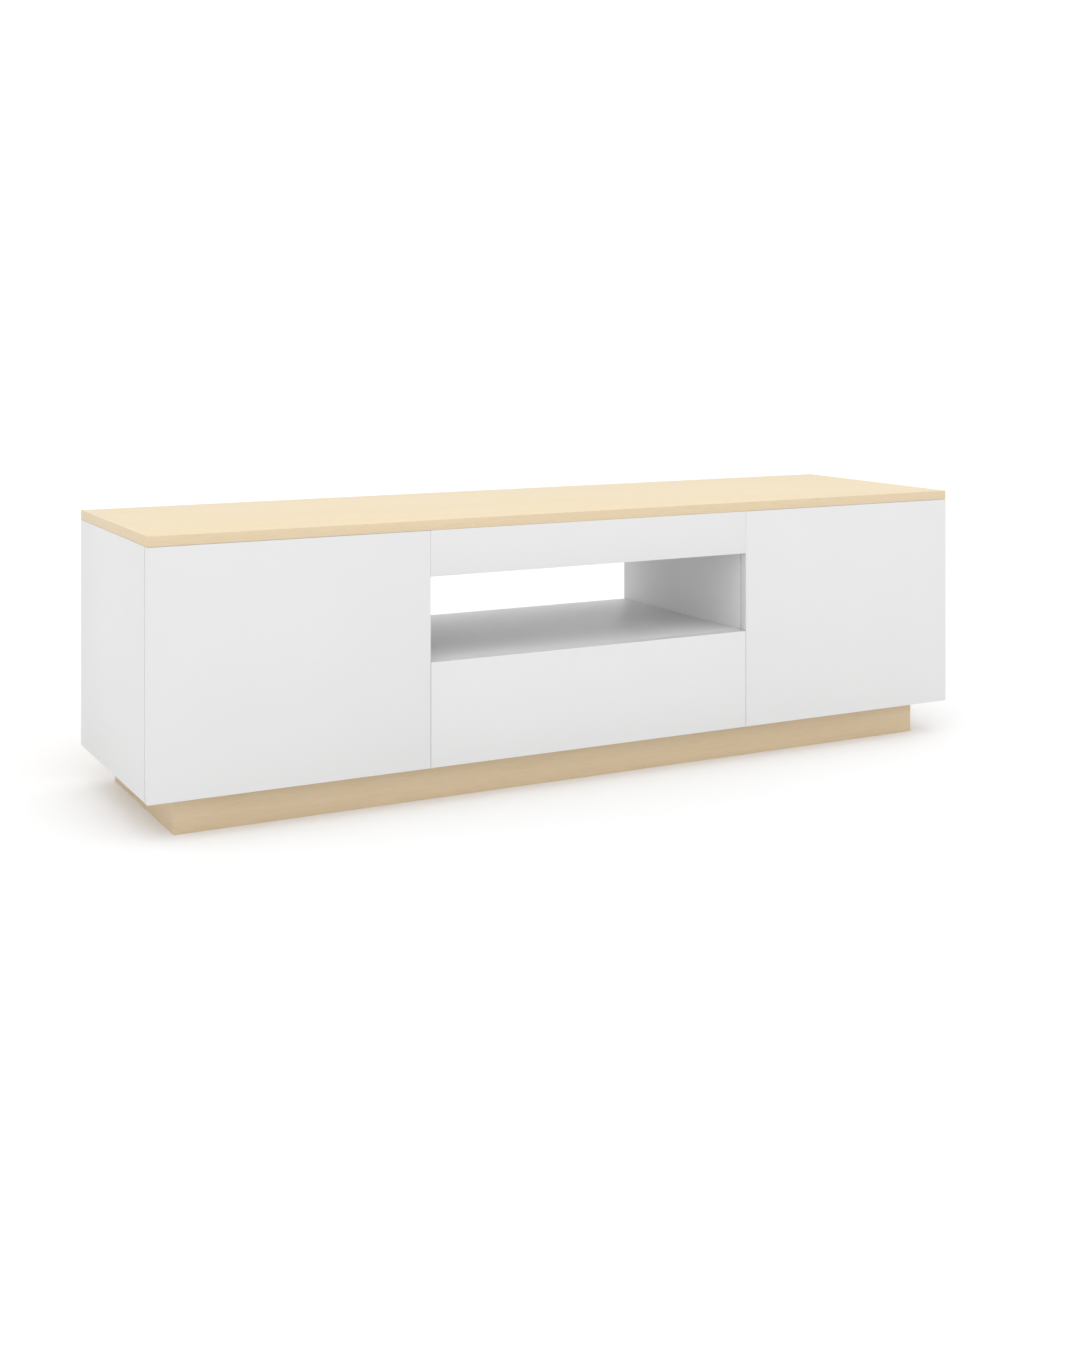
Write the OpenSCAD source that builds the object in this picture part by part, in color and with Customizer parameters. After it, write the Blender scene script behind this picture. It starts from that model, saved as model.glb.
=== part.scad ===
/* [Overall] */
// Overall width
body_w = 1500; // [1250:10:1800]
// Overall depth
body_d = 412; // [343:1:500]
// Overall height
body_h = 450; // [375:1:540]

/* [Boards] */
// Thickness of the white boards, doors and plinth boards
board_t = 16; // [13.2:0.1:19.4]
// Thickness of the top panel
top_t = 16; // [14:0.1:22]
// Thickness of the back panels and the drawer bottom
back_t = 3; // [2.5:0.1:4]
// Thickness of the drawer box boards
drawer_board_t = 12; // [10:0.5:15]

/* [Niche and drawer] */
// Clear width of the niche between the partitions
niche_w = 600; // [500:10:720]
// Clear height of the niche
niche_h = 135; // [100:1:162]
// Height of the rail above the niche
rail_h = 73; // [61:1:88]
// Step between the lengths in which the drawer slides are made
slide_step = 50; // [10:10:60]

/* [Plinth] */
// Height of the plinth
plinth_h = 60; // [50:1:72]
// Set-back of the plinth from the front
plinth_front_set = 40; // [20:1:60]
// Set-back of the plinth from each side
plinth_side_set = 50; // [20:1:80]
// Set-back of the plinth from the back
plinth_rear_set = 25; // [10:1:60]

/* [Gaps] */
// Gap behind the closed doors and the drawer front
rear_gap = 1.4; // [1.4:0.1:3]
// Gap between a door and the rail beside it
door_gap = 0.3; // [0.3:0.1:2]
// Extra gap each side of the drawer front
drawer_gap = 0.5; // [0.3:0.1:2]
// Gap under the top panel
top_gap = 0.3; // [0.3:0.1:3]
// Clearance of loose pieces such as shelves in their openings
loose_fit = 1; // [0.5:0.1:2]

/* [Hinges] */
// Distance of each hinge from the end of its door
hinge_inset = 90; // [70:1:110]
// Diameter of the hinge cup
cup_d = 35; // [35:1:42]
// Depth of the hinge cup
cup_depth = 12.5; // [12.5:0.1:13]
// Distance of the hinge cup from the edge of the door
cup_edge = 3; // [3:0.1:4]
// Diameter of the hinge pin
pin_d = 2.5; // [2:0.1:2.5]

/* [Fittings] */
// Diameter of a cam lock
cam_d = 15; // [12:0.5:15]
// Distance of a cam lock from the joint it pulls
cam_set = 24; // [20:1:34]
// Diameter of a wood dowel
dowel_d = 8; // [6:0.5:8]
// Spacing of the holes for the shelf pins
pin_step = 32; // [25:1:38]
// Diameter of a shelf pin
shelf_pin_d = 5; // [4:0.5:5]
// Diameter of a latch housing
latch_d = 10; // [8:0.5:10]

/* [Hidden] */
$fn = 48;

// planes of the carcass
x_out = body_w / 2;
x_in = x_out - board_t;
y_front = -body_d / 2;
y_rear = body_d / 2;
y_behind = y_front + board_t;
y_carcass = y_behind + rear_gap;
z_under = body_h - top_t;
z_base = plinth_h;
z_floor = z_base + board_t;
niche_x = niche_w / 2;
part_x = niche_x + board_t;
z_rail = z_under - rail_h;
z_shelf = z_rail - niche_h;
z_bay = z_shelf - board_t;

// back panels sit in a rebate, with room for the nail heads
back_inset = 1;
back_play = 0.5;
rebate_w = 6;
rebate_d = back_t + back_inset;
y_back = y_rear - back_inset;

// cam joints: front and rear lines, and the dowel beside each
cam_front_set = 50;
cam_rear_set = 60;
cam_front = y_carcass + cam_front_set;
cam_rear = y_rear - cam_rear_set;
dowel_step = 32;
cam_floor = 3.5;
cam_bore_h = board_t - cam_floor;
cam_slot_w = 1.6;
cam_slot_h = 2;
cam_sink = 0.3;
bolt_thread_d = 6;
bolt_thread_h = 11;
bolt_shank_d = 5;
bolt_head_d = 7;
bolt_head_h = 5;
bolt_bore_d = 8;
bolt_tip = 2;
dowel_in = 24;
dowel_out = 10;
bore_spare = 0.5;
bore_play = 0.1;

// doors
door_in = niche_x + door_gap;
door_top = z_under - top_gap;
door_chamfer = 1.2;

// hinges, in their own frame: u inwards from the outer face of the side,
// v to the rear from the back of the closed door, w up from the hinge centre
hinge_u = 6.3;
hinge_v = -9.5;
pin_play = 0.05;
pin_half = 6.8;
knuckle_r = 1.9;
knuckle_half = 3.5;
cup_wall = 0.8;
cup_u = cup_edge + cup_d / 2;
ear_half_in = 3.9;
ear_half_out = 6.6;
ear_edge = 2.6;
ear_u = [cup_edge + cup_wall, hinge_u + ear_edge];
ear_v = hinge_v + ear_edge;
flange_t = 0.8;
flange_lip = 0.8;
flange_r = cup_d / 2 + flange_lip;
flange_trim = cup_edge + cup_wall / 2;
flange_half = 28;
cup_screw_u = cup_u + 9.5;
cup_screw_w = 22.5;
wing_edge = 7.5;
flange_u = [cup_screw_u - wing_edge, cup_screw_u + wing_edge];
arm_t = 2;
arm_half = 6;
arm_lift = 4;
arm_u = board_t + arm_lift;
arm_end = 62;
plate_t = 2;
wing_t = 1.6;
plate_v = [20, 60];
plate_half = 7;
wing_v = [29, 45];
wing_half = 22;
plate_screw_v = 37;
plate_screw_w = 16;
arm_screw_v = 52;
arm_screw_d = 5;
euro_d = 5;
euro_len = 10;
euro_head_d = 9;
euro_head_h = 1.8;
hinge_z = [z_base + hinge_inset, door_top - hinge_inset];

// cupboard shelves and their pins
shelf_front_set = 30;
shelf_rear_play = 2;
pin_front_set = 70;
pin_rear_set = 100;
shelf_front = y_carcass + shelf_front_set;
shelf_rear = y_back - back_t - shelf_rear_play;
shelf_pin_front = y_carcass + pin_front_set;
shelf_pin_rear = y_rear - pin_rear_set;
pin_rows = 5;
pin_mid = (z_floor + z_under) / 2;
pin_in = 8;
pin_bore = 9;
pin_out = 9;
pin_head_d = 7;
shelf_row = 2;

// drawer box and slides
slide_t = 12.7;
slide_h = 45;
slide_web = 1.2;
slide_front_set = 3;
slide_rear_play = 12;
slide_front = y_carcass + slide_front_set;
slide_room = y_back - back_t - y_behind - slide_rear_play;
slide_len = floor(slide_room / slide_step) * slide_step;
ball_gap = 3;
ball_r = 1.2;
drawer_x = niche_x - slide_t;
drawer_low = 14;
drawer_high = 16;
drawer_z0 = z_floor + drawer_low;
drawer_z1 = z_bay - drawer_high;
drawer_back_y = y_behind + slide_len;
groove = 6;
groove_play = 0.2;
bottom_lift = 10;
bottom_z = drawer_z0 + bottom_lift;
slide_z = (drawer_z0 + drawer_z1) / 2;

// nails, screws and brackets
nail_d = 1.6;
nail_len = 18;
nail_head_d = 4;
nail_head_h = 0.6;
screw_d = 4;
screw_head_d = 8;
screw_head_h = 2.5;
bracket = 30;
bracket_t = 2;
bracket_w = 16;
pan_d = 3.5;
pan_len = 12;
pan_head_d = 7;
pan_head_h = 2;
slot_share = 0.6;
slot_ratio = 7;

WHITE = "#ebebe8";
INSIDE = "#dededb";
OAK = "#eadbbe";
STEEL = "#b9bcc0";
GREY = "#8f9296";
BEECH = "#d8b98a";

// ---- helpers ----

// a block between two opposite corners
module block(low, high) {
    translate(low)
        cube(high - low);
}

// turns +Z to a direction along one of the axes
module along(direction) {
    turn = direction[2] != 0
        ? [direction[2] < 0 ? 180 : 0, 0, 0]
        : [0, 90, atan2(direction[1], direction[0])];
    rotate(turn)
        children();
}

// a rod along a direction, from one distance to another
module rod(at, direction, from, to, d) {
    translate(at)
        along(direction)
            translate([0, 0, from])
                cylinder(h = to - from, d = d);
}

// mirrors its children for the left side, -1, and leaves them for the right, 1
module sided(side) {
    mirror([side < 0 ? 1 : 0, 0, 0])
        children();
}

// ---- cam joints: [point on the joint, way into the cam board, way to the cam's face, to the dowel] ----

function cam_lines(point, into, face) = [
    for (line = [[cam_front, dowel_step], [cam_rear, -dowel_step]])
        [[point[0], line[0], point[2]], into, face, [0, line[1], 0]]
];
function side_top(s) = cam_lines([s * (x_out - board_t / 2), 0, z_under], [0, 0, -1], [-s, 0, 0]);
function part_top(s) = cam_lines([s * (niche_x + board_t / 2), 0, z_under], [0, 0, -1], [s, 0, 0]);
function side_base(s) = cam_lines([s * x_in, 0, z_base + board_t / 2], [-s, 0, 0], [0, 0, -1]);
function part_base(s) = cam_lines([s * (niche_x + board_t / 2), 0, z_floor], [0, 0, 1], [s, 0, 0]);
function shelf_ends(s) = cam_lines([s * niche_x, 0, z_shelf - board_t / 2], [-s, 0, 0], [0, 0, -1]);
function front_rail_ends(s) = [
    [[s * niche_x, y_behind + board_t / 2, z_rail + rail_h / 2], [-s, 0, 0], [0, 1, 0], [0, 0, -rail_h / 4]]
];
function rear_rail_ends(s) = [
    [[s * niche_x, y_rear - board_t / 2, z_rail + rail_h / 2], [-s, 0, 0], [0, -1, 0], [0, 0, -rail_h / 4]]
];
function rail_ends(s) = concat(front_rail_ends(s), rear_rail_ends(s));
function joints_of(s) =
    concat(side_top(s), part_top(s), side_base(s), part_base(s), shelf_ends(s), rail_ends(s));
ALL_JOINTS = concat(joints_of(-1), joints_of(1));

// bores in the board that holds the cam
module cam_cuts(joints) {
    for (j = joints) {
        seat = j[0] + j[1] * cam_set;
        rod(seat, j[2], board_t / 2 - cam_bore_h, board_t / 2 + 1, cam_d);
        rod(j[0], j[1], -1, cam_set + bolt_tip + bore_spare, bolt_bore_d);
        rod(j[0] + j[3], j[1], -1, dowel_in + bore_spare, dowel_d + bore_play);
    }
}

// bores in the board that holds the bolt
module bolt_cuts(joints) {
    for (j = joints) {
        rod(j[0], j[1], -bolt_thread_h, 1, bolt_thread_d);
        rod(j[0] + j[3], j[1], -dowel_out - bore_spare, 1, dowel_d + bore_play);
    }
}

// one cam lock: a disc with a mouth for the bolt's head and a cross in its face
module cam_lock(j, bore_h, half_t) {
    slot_l = cam_d * slot_share;
    translate(j[0] + j[1] * cam_set)
        difference() {
            along(j[2])
                translate([0, 0, half_t - bore_h])
                    cylinder(h = bore_h - cam_sink, d = cam_d);
            rod([0, 0, 0], -j[1], -bolt_head_d / 2, cam_d, bolt_bore_d);
            along(j[2])
                translate([0, 0, half_t - cam_sink - cam_slot_h])
                    for (turn = [0, 90])
                        rotate(turn)
                            translate([-slot_l / 2, -cam_slot_w / 2, 0])
                                cube([slot_l, cam_slot_w, cam_slot_h + 1]);
        }
}

// one cam bolt: thread, shank and head
module cam_bolt(j) {
    rod(j[0], j[1], -bolt_thread_h, 0, bolt_thread_d);
    rod(j[0], j[1], 0, cam_set - bolt_head_h, bolt_shank_d);
    rod(j[0], j[1], cam_set - bolt_head_h, cam_set + bolt_tip, bolt_head_d);
}

// ---- nails: [x, z] on the back panels ----

function ends_between(a, b, count) = [for (i = [0 : count - 1]) a + (b - a) * i / (count - 1)];
nail_low = 30;
nail_high = 24;
bay_nail_in = 35;
cupboard_nail_in = 80;
bay_base_nail_in = 60;
nail_zs = ends_between(z_floor + nail_low, z_under - nail_high, 4);
base_nail_z = z_base + board_t / 2;
side_nail_x = x_in + rebate_w / 2;
part_nail_x = part_x - rebate_w / 2;
bay_nail_x = niche_x + rebate_w / 2;
function side_nails(s) = [for (z = nail_zs) [s * side_nail_x, z]];
function part_nails(s) = [for (z = nail_zs) [s * part_nail_x, z]];
bay_nail_zs = [z_floor + bay_nail_in, z_bay - bay_nail_in];
cupboard_nail_xs = ends_between(part_x + cupboard_nail_in, x_in - cupboard_nail_in, 3);
bay_nail_xs = ends_between(-niche_x + bay_base_nail_in, niche_x - bay_base_nail_in, 4);
function bay_side_nails(s) = [for (z = bay_nail_zs) [s * bay_nail_x, z]];
function cupboard_base_nails(s) = [for (x = cupboard_nail_xs) [s * x, base_nail_z]];
bay_base_nails = [for (x = bay_nail_xs) [x, base_nail_z]];
shelf_nails = [for (x = bay_nail_xs) [x, z_shelf - board_t / 2]];
base_nails = concat(cupboard_base_nails(-1), cupboard_base_nails(1), bay_base_nails);
cupboard_nails = concat(side_nails(1), part_nails(1), cupboard_base_nails(1));
bay_nails = concat(bay_side_nails(-1), bay_side_nails(1), bay_base_nails, shelf_nails);

module nail_cuts(nails) {
    for (n = nails)
        rod([n[0], y_back, n[1]], [0, -1, 0], -1, nail_len, nail_d);
}

module nail(n) {
    rod([n[0], y_back, n[1]], [0, -1, 0], 0, nail_len, nail_d);
    rod([n[0], y_back, n[1]], [0, 1, 0], 0, nail_head_h, nail_head_d);
}

// ---- hinges ----

// places its children in the frame of a hinge of the right door, or mirrored for the left
module at_hinges(side) {
    sided(side)
        for (z = hinge_z)
            translate([x_out, y_behind, z])
                mirror([1, 0, 0])
                    children();
}

// the bores in the side panel for the screws of the mounting plates
module hinge_plate_cuts() {
    for (w = [-plate_screw_w, plate_screw_w])
        rod([board_t, plate_screw_v, w], [-1, 0, 0], -1, euro_len, euro_d);
}

module hinge_arm() {
    difference() {
        union() {
            translate([hinge_u, hinge_v, -knuckle_half])
                cylinder(h = 2 * knuckle_half, r = knuckle_r);
            block([hinge_u, hinge_v - arm_t / 2, -knuckle_half],
                [arm_u + arm_t / 2, hinge_v + arm_t / 2, knuckle_half]);
            block([arm_u - arm_t / 2, hinge_v - arm_t / 2, -knuckle_half],
                [arm_u + arm_t / 2, rear_gap, knuckle_half]);
            block([arm_u - arm_t / 2, rear_gap, -arm_half],
                [arm_u + arm_t / 2, plate_v[0], arm_half]);
            block([board_t + plate_t, plate_v[0], -arm_half],
                [arm_u + arm_t / 2, arm_end, arm_half]);
        }
        translate([hinge_u, hinge_v, -knuckle_half - 1])
            cylinder(h = 2 * knuckle_half + 2, r = pin_d / 2 + pin_play);
        rod([0, arm_screw_v, 0], [1, 0, 0], 0, 2 * arm_u, arm_screw_d);
    }
}

module hinge_plate() {
    difference() {
        union() {
            block([board_t, plate_v[0], -plate_half], [board_t + plate_t, plate_v[1], plate_half]);
            block([board_t, wing_v[0], -wing_half], [board_t + wing_t, wing_v[1], wing_half]);
        }
        for (w = [-plate_screw_w, plate_screw_w])
            rod([0, plate_screw_v, w], [1, 0, 0], 0, 2 * arm_u, euro_d);
        rod([0, arm_screw_v, 0], [1, 0, 0], 0, 2 * arm_u, arm_screw_d);
    }
}

module hinge_plate_screw_set() {
    head = board_t + wing_t;
    for (w = [-plate_screw_w, plate_screw_w]) {
        rod([board_t, plate_screw_v, w], [1, 0, 0], -euro_len, wing_t, euro_d);
        screw_head([head, plate_screw_v, w], [1, 0, 0], euro_head_d, euro_head_h);
    }
    rod([board_t, arm_screw_v, 0], [1, 0, 0], bore_spare, arm_u + arm_t / 2 - board_t, arm_screw_d);
    screw_head([arm_u + arm_t / 2, arm_screw_v, 0], [1, 0, 0], euro_head_d, euro_head_h);
}

// a flat round head with a cross in it
module screw_head(at, direction, d, h) {
    slot_w = d / slot_ratio;
    slot_l = d * slot_share;
    translate(at)
        along(direction)
            difference() {
                cylinder(h = h, d = d);
                for (turn = [0, 90])
                    rotate(turn)
                        translate([-slot_l / 2, -slot_w / 2, h / 2])
                            cube([slot_l, slot_w, h]);
            }
}

module hinge_cup() {
    inner_r = cup_d / 2 - cup_wall;
    difference() {
        union() {
            difference() {
                rod([cup_u, 0, 0], [0, 1, 0], -cup_depth, 0, cup_d);
                rod([cup_u, 0, 0], [0, 1, 0], -cup_depth + cup_wall, 1, 2 * inner_r);
            }
            hinge_ears(inner_r);
            difference() {
                union() {
                    rod([cup_u, 0, 0], [0, 1, 0], 0, flange_t, 2 * flange_r);
                    block([flange_u[0], 0, -flange_half], [flange_u[1], flange_t, flange_half]);
                }
                rod([cup_u, 0, 0], [0, 1, 0], -1, flange_t + 1, 2 * inner_r);
                block([-cup_d, -1, -flange_r], [flange_trim, flange_t + 1, flange_r]);
            }
        }
        translate([hinge_u, hinge_v, -pin_half - 1])
            cylinder(h = 2 * pin_half + 2, d = pin_d);
        for (w = [-cup_screw_w, cup_screw_w])
            rod([cup_screw_u, 0, w], [0, 1, 0], -1, flange_t + 1, pan_d);
    }
}

// the two ears that carry the pin, grown out of the cup's wall
module hinge_ears(inner_r) {
    intersection() {
        rod([cup_u, 0, 0], [0, 1, 0], -cup_depth + cup_wall / 2, 0, 2 * inner_r + cup_wall);
        for (side = [-1, 1])
            mirror([0, 0, side < 0 ? 1 : 0])
                block([ear_u[0] - cup_wall, -cup_depth + cup_wall / 2, ear_half_in],
                    [ear_u[1], ear_v, ear_half_out]);
    }
}

module hinge_pin() {
    translate([hinge_u, hinge_v, -pin_half])
        cylinder(h = 2 * pin_half, d = pin_d);
}

module cup_screws() {
    for (w = [-cup_screw_w, cup_screw_w]) {
        rod([cup_screw_u, 0, w], [0, 1, 0], -pan_len, flange_t, pan_d);
        screw_head([cup_screw_u, flange_t, w], [0, 1, 0], pan_head_d, pan_head_h);
    }
}

// the bores in a door for its hinge cups and their screws
module cup_cuts() {
    rod([cup_u, 0, 0], [0, 1, 0], -cup_depth, 1, cup_d);
    for (w = [-cup_screw_w, cup_screw_w])
        rod([cup_screw_u, 0, w], [0, 1, 0], -pan_len, 1, pan_d);
}

// ---- latches: each sits in a bore in the front edge of a board ----

latch_len = 45;
latch_cap = 2;
latch_bore_share = 0.66;
latch_bore_d = latch_d * latch_bore_share;
latch_flange_lip = 2;
latch_flange_d = latch_d + 2 * latch_flange_lip;
latch_flange_t = 0.5;
latch_row = 3;
plunger_play = 0.1;
plunger_len = 36;
plunger_tip_t = 0.5;
plunger_tip_lip = 1;
function door_latch(s) = [s * (niche_x + board_t / 2), y_carcass, pin_mid + latch_row * pin_step];
drawer_latch = [0, y_carcass, z_shelf - board_t / 2];

module latch_cut(at) {
    rod(at, [0, 1, 0], -1, latch_len, latch_d);
}

module latch_housing(at) {
    difference() {
        union() {
            rod(at, [0, 1, 0], 0, latch_len, latch_d);
            rod(at, [0, -1, 0], 0, latch_flange_t, min(latch_flange_d, board_t - 1));
        }
        rod(at, [0, 1, 0], -latch_flange_t - 1, latch_len - latch_cap, latch_bore_d);
    }
}

module latch_plunger(at) {
    front = latch_flange_t + plunger_play;
    rod(at, [0, 1, 0], -front, plunger_len, latch_bore_d - 2 * plunger_play);
    rod(at, [0, -1, 0], front, front + plunger_tip_t, latch_bore_d + 2 * plunger_tip_lip);
}

// ---- carcass ----

module top_panel() {
    color(OAK)
        difference() {
            block([-x_out, y_front, z_under], [x_out, y_rear, body_h]);
            bolt_cuts(concat(side_top(-1), side_top(1), part_top(-1), part_top(1)));
        }
}

module bottom_panel() {
    color(WHITE)
        difference() {
            block([-x_in, y_carcass, z_base], [x_in, y_rear - rebate_d, z_floor]);
            cam_cuts(concat(side_base(-1), side_base(1)));
            bolt_cuts(concat(part_base(-1), part_base(1)));
            nail_cuts(base_nails);
            bracket_cuts_up();
        }
}

module side_panel() {
    color(WHITE)
        difference() {
            block([x_in, y_carcass, z_base], [x_out, y_rear, z_under]);
            block([x_in - 1, y_rear - rebate_d, z_base - 1], [x_in + rebate_w, y_rear + 1, z_under + 1]);
            cam_cuts(side_top(1));
            bolt_cuts(side_base(1));
            nail_cuts(side_nails(1));
            at_hinges(1)
                hinge_plate_cuts();
            pin_bores(x_in, 1);
        }
}

module partition() {
    color(WHITE)
        difference() {
            block([niche_x, y_carcass, z_floor], [part_x, y_rear, z_under]);
            block([part_x - rebate_w, y_rear - rebate_d, z_floor - 1], [part_x + 1, y_rear + 1, z_under + 1]);
            block([niche_x - 1, y_rear - rebate_d, z_floor - 1], [niche_x + rebate_w, y_rear + 1, z_shelf]);
            cam_cuts(concat(part_top(1), part_base(1)));
            bolt_cuts(concat(shelf_ends(1), rail_ends(1)));
            nail_cuts(concat(part_nails(1), bay_side_nails(1)));
            pin_bores(part_x, -1);
            latch_cut(door_latch(1));
            slide_screw_cuts();
        }
}

module niche_shelf() {
    color(WHITE)
        difference() {
            block([-niche_x, y_carcass, z_bay], [niche_x, y_rear - rebate_d, z_shelf]);
            cam_cuts(concat(shelf_ends(-1), shelf_ends(1)));
            nail_cuts(shelf_nails);
            latch_cut(drawer_latch);
        }
}

// screws that hold the rail to the stretcher behind it
rail_screw_in = 70;
rail_screw_short = 4;
rail_screw_xs = ends_between(-niche_x + rail_screw_in, niche_x - rail_screw_in, 4);
rail_screw_len = 2 * board_t - rail_screw_short;

module rail_screw_cuts() {
    for (x = rail_screw_xs)
        csk_screw([x, y_behind + board_t, z_rail + rail_h / 2], [0, -1, 0], rail_screw_len, 1);
}

// a countersunk screw; spare makes its cut run out of the face
module csk_screw(at, direction, len, spare) {
    translate(at)
        along(direction) {
            cylinder(h = len, d = screw_d);
            cylinder(h = screw_head_h, d1 = screw_head_d, d2 = screw_d);
            if (spare > 0)
                translate([0, 0, -spare])
                    cylinder(h = spare, d = screw_head_d);
        }
}

module niche_rail() {
    color(WHITE)
        difference() {
            block([-niche_x, y_front, z_rail], [niche_x, y_behind, z_under]);
            rail_screw_cuts();
        }
}

module front_stretcher() {
    color(WHITE)
        difference() {
            block([-niche_x, y_behind, z_rail], [niche_x, y_behind + board_t, z_under]);
            rail_screw_cuts();
            cam_cuts(concat(front_rail_ends(-1), front_rail_ends(1)));
        }
}

module rear_stretcher() {
    color(WHITE)
        difference() {
            block([-niche_x, y_rear - board_t, z_rail], [niche_x, y_rear, z_under]);
            cam_cuts(concat(rear_rail_ends(-1), rear_rail_ends(1)));
        }
}

module cupboard_back() {
    color(INSIDE)
        difference() {
            block([part_x - rebate_w + back_play, y_back - back_t, z_base],
                [x_in + rebate_w - back_play, y_back, z_under - back_play]);
            nail_cuts(cupboard_nails);
        }
}

module drawer_bay_back() {
    half = niche_x + rebate_w - back_play;
    color(INSIDE)
        difference() {
            block([-half, y_back - back_t, z_base], [half, y_back, z_shelf - back_play]);
            nail_cuts(bay_nails);
        }
}

// ---- cupboard shelves ----

pin_zs = [for (k = [0 : pin_rows - 1]) pin_mid + (k - shelf_row) * pin_step];

module pin_bores(x, inwards) {
    for (y = [shelf_pin_front, shelf_pin_rear])
        for (z = pin_zs)
            rod([x, y, z], [inwards, 0, 0], -1, pin_bore, shelf_pin_d + bore_play);
}

module cupboard_shelf() {
    low = pin_zs[shelf_row] + pin_head_d / 2;
    color(WHITE)
        block([part_x + loose_fit, shelf_front, low], [x_in - loose_fit, shelf_rear, low + board_t]);
}

module shelf_pin(at, inwards) {
    rod(at, [inwards, 0, 0], 0, pin_in, shelf_pin_d);
    rod(at, [-inwards, 0, 0], 0, pin_out, pin_head_d);
}

module shelf_pins() {
    color(STEEL)
        for (side = [-1, 1])
            sided(side)
                for (y = [shelf_pin_front, shelf_pin_rear]) {
                    shelf_pin([x_in, y, pin_zs[shelf_row]], 1);
                    shelf_pin([part_x, y, pin_zs[shelf_row]], -1);
                }
}

// ---- plinth ----

plinth_x = x_out - plinth_side_set;
plinth_y0 = y_front + plinth_front_set;
plinth_y1 = y_rear - plinth_rear_set;
cross_x = niche_x + board_t / 2;
plinth_dowel_zs = [plinth_h / 3, plinth_h * 2 / 3];
bracket_outer_share = 0.75;
bracket_hole_share = 0.6;
bracket_outer_x = x_out * bracket_outer_share;
bracket_hole = bracket * bracket_hole_share;
bracket_xs = [-bracket_outer_x, -niche_x / 2, niche_x / 2, bracket_outer_x];

// dowels between the long plinth boards and a board between them: [point, way into the board between]
function plinth_dowels(x) = concat(
    [for (z = plinth_dowel_zs) [[x, plinth_y0 + board_t, z], [0, 1, 0]]],
    [for (z = plinth_dowel_zs) [[x, plinth_y1 - board_t, z], [0, -1, 0]]]
);
plinth_between = [-plinth_x + board_t / 2, -cross_x, cross_x, plinth_x - board_t / 2];
all_plinth_dowels = [for (x = plinth_between) each plinth_dowels(x)];

module dowel(at, into) {
    rod(at, into, -dowel_out, dowel_in, dowel_d);
}

module plinth_dowel_cuts(dowels) {
    for (d = dowels)
        rod(d[0], d[1], -dowel_out - bore_spare, dowel_in + bore_spare, dowel_d + bore_play);
}

// brackets under the bottom panel: front ones face the rear, rear ones face the front
module at_brackets() {
    for (x = bracket_xs) {
        translate([x, plinth_y0 + board_t, z_base])
            children();
        translate([x, plinth_y1 - board_t, z_base])
            mirror([0, 1, 0])
                children();
    }
}

module bracket_cuts_up() {
    at_brackets()
        rod([0, bracket_hole, 0], [0, 0, 1], -1, pan_len - bracket_t, pan_d);
}

module bracket_cuts_back() {
    at_brackets()
        rod([0, 0, -bracket_hole], [0, -1, 0], -1, pan_len - bracket_t, pan_d);
}

module plinth_brackets() {
    color(STEEL)
        at_brackets()
            difference() {
                union() {
                    block([-bracket_w / 2, 0, -bracket_t], [bracket_w / 2, bracket, 0]);
                    block([-bracket_w / 2, 0, -bracket], [bracket_w / 2, bracket_t, 0]);
                }
                rod([0, bracket_hole, 0], [0, 0, 1], -bracket, 1, pan_d);
                rod([0, 0, -bracket_hole], [0, 1, 0], -1, bracket, pan_d);
            }
}

module plinth_screws() {
    color(GREY)
        at_brackets() {
            rod([0, bracket_hole, 0], [0, 0, 1], -bracket_t, pan_len - bracket_t, pan_d);
            screw_head([0, bracket_hole, -bracket_t], [0, 0, -1], pan_head_d, pan_head_h);
            rod([0, 0, -bracket_hole], [0, 1, 0], bracket_t - pan_len, bracket_t, pan_d);
            screw_head([0, bracket_t, -bracket_hole], [0, 1, 0], pan_head_d, pan_head_h);
        }
}

module plinth_long(y0) {
    color(OAK)
        difference() {
            block([-plinth_x, y0, 0], [plinth_x, y0 + board_t, plinth_h]);
            plinth_dowel_cuts(all_plinth_dowels);
            bracket_cuts_back();
        }
}

module plinth_short(x) {
    color(OAK)
        difference() {
            block([x - board_t / 2, plinth_y0 + board_t, 0],
                [x + board_t / 2, plinth_y1 - board_t, plinth_h]);
            plinth_dowel_cuts(plinth_dowels(x));
        }
}

// ---- fasteners of the carcass ----

module cam_locks() {
    color(GREY)
        for (j = ALL_JOINTS)
            cam_lock(j, cam_bore_h, board_t / 2);
}

module cam_bolts() {
    color(STEEL)
        for (j = ALL_JOINTS)
            cam_bolt(j);
}

module wood_dowels() {
    color(BEECH) {
        for (j = ALL_JOINTS)
            dowel(j[0] + j[3], j[1]);
        for (d = all_plinth_dowels)
            dowel(d[0], d[1]);
    }
}

module back_panel_nails() {
    color(STEEL) {
        for (side = [-1, 1])
            sided(side)
                for (n = cupboard_nails)
                    nail(n);
        for (n = bay_nails)
            nail(n);
    }
}

module rail_screws() {
    color(STEEL)
        for (x = rail_screw_xs)
            csk_screw([x, y_behind + board_t, z_rail + rail_h / 2], [0, -1, 0], rail_screw_len, 0);
}

// ---- doors ----

module door() {
    color(WHITE)
        difference() {
            translate([0, 0, z_base])
                linear_extrude(height = door_top - z_base)
                    polygon([
                        [door_in, y_front],
                        [x_out, y_front],
                        [x_out, y_behind - door_chamfer],
                        [x_out - door_chamfer, y_behind],
                        [door_in, y_behind]
                    ]);
            at_hinges(1)
                cup_cuts();
        }
}

// ---- drawer ----

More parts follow.
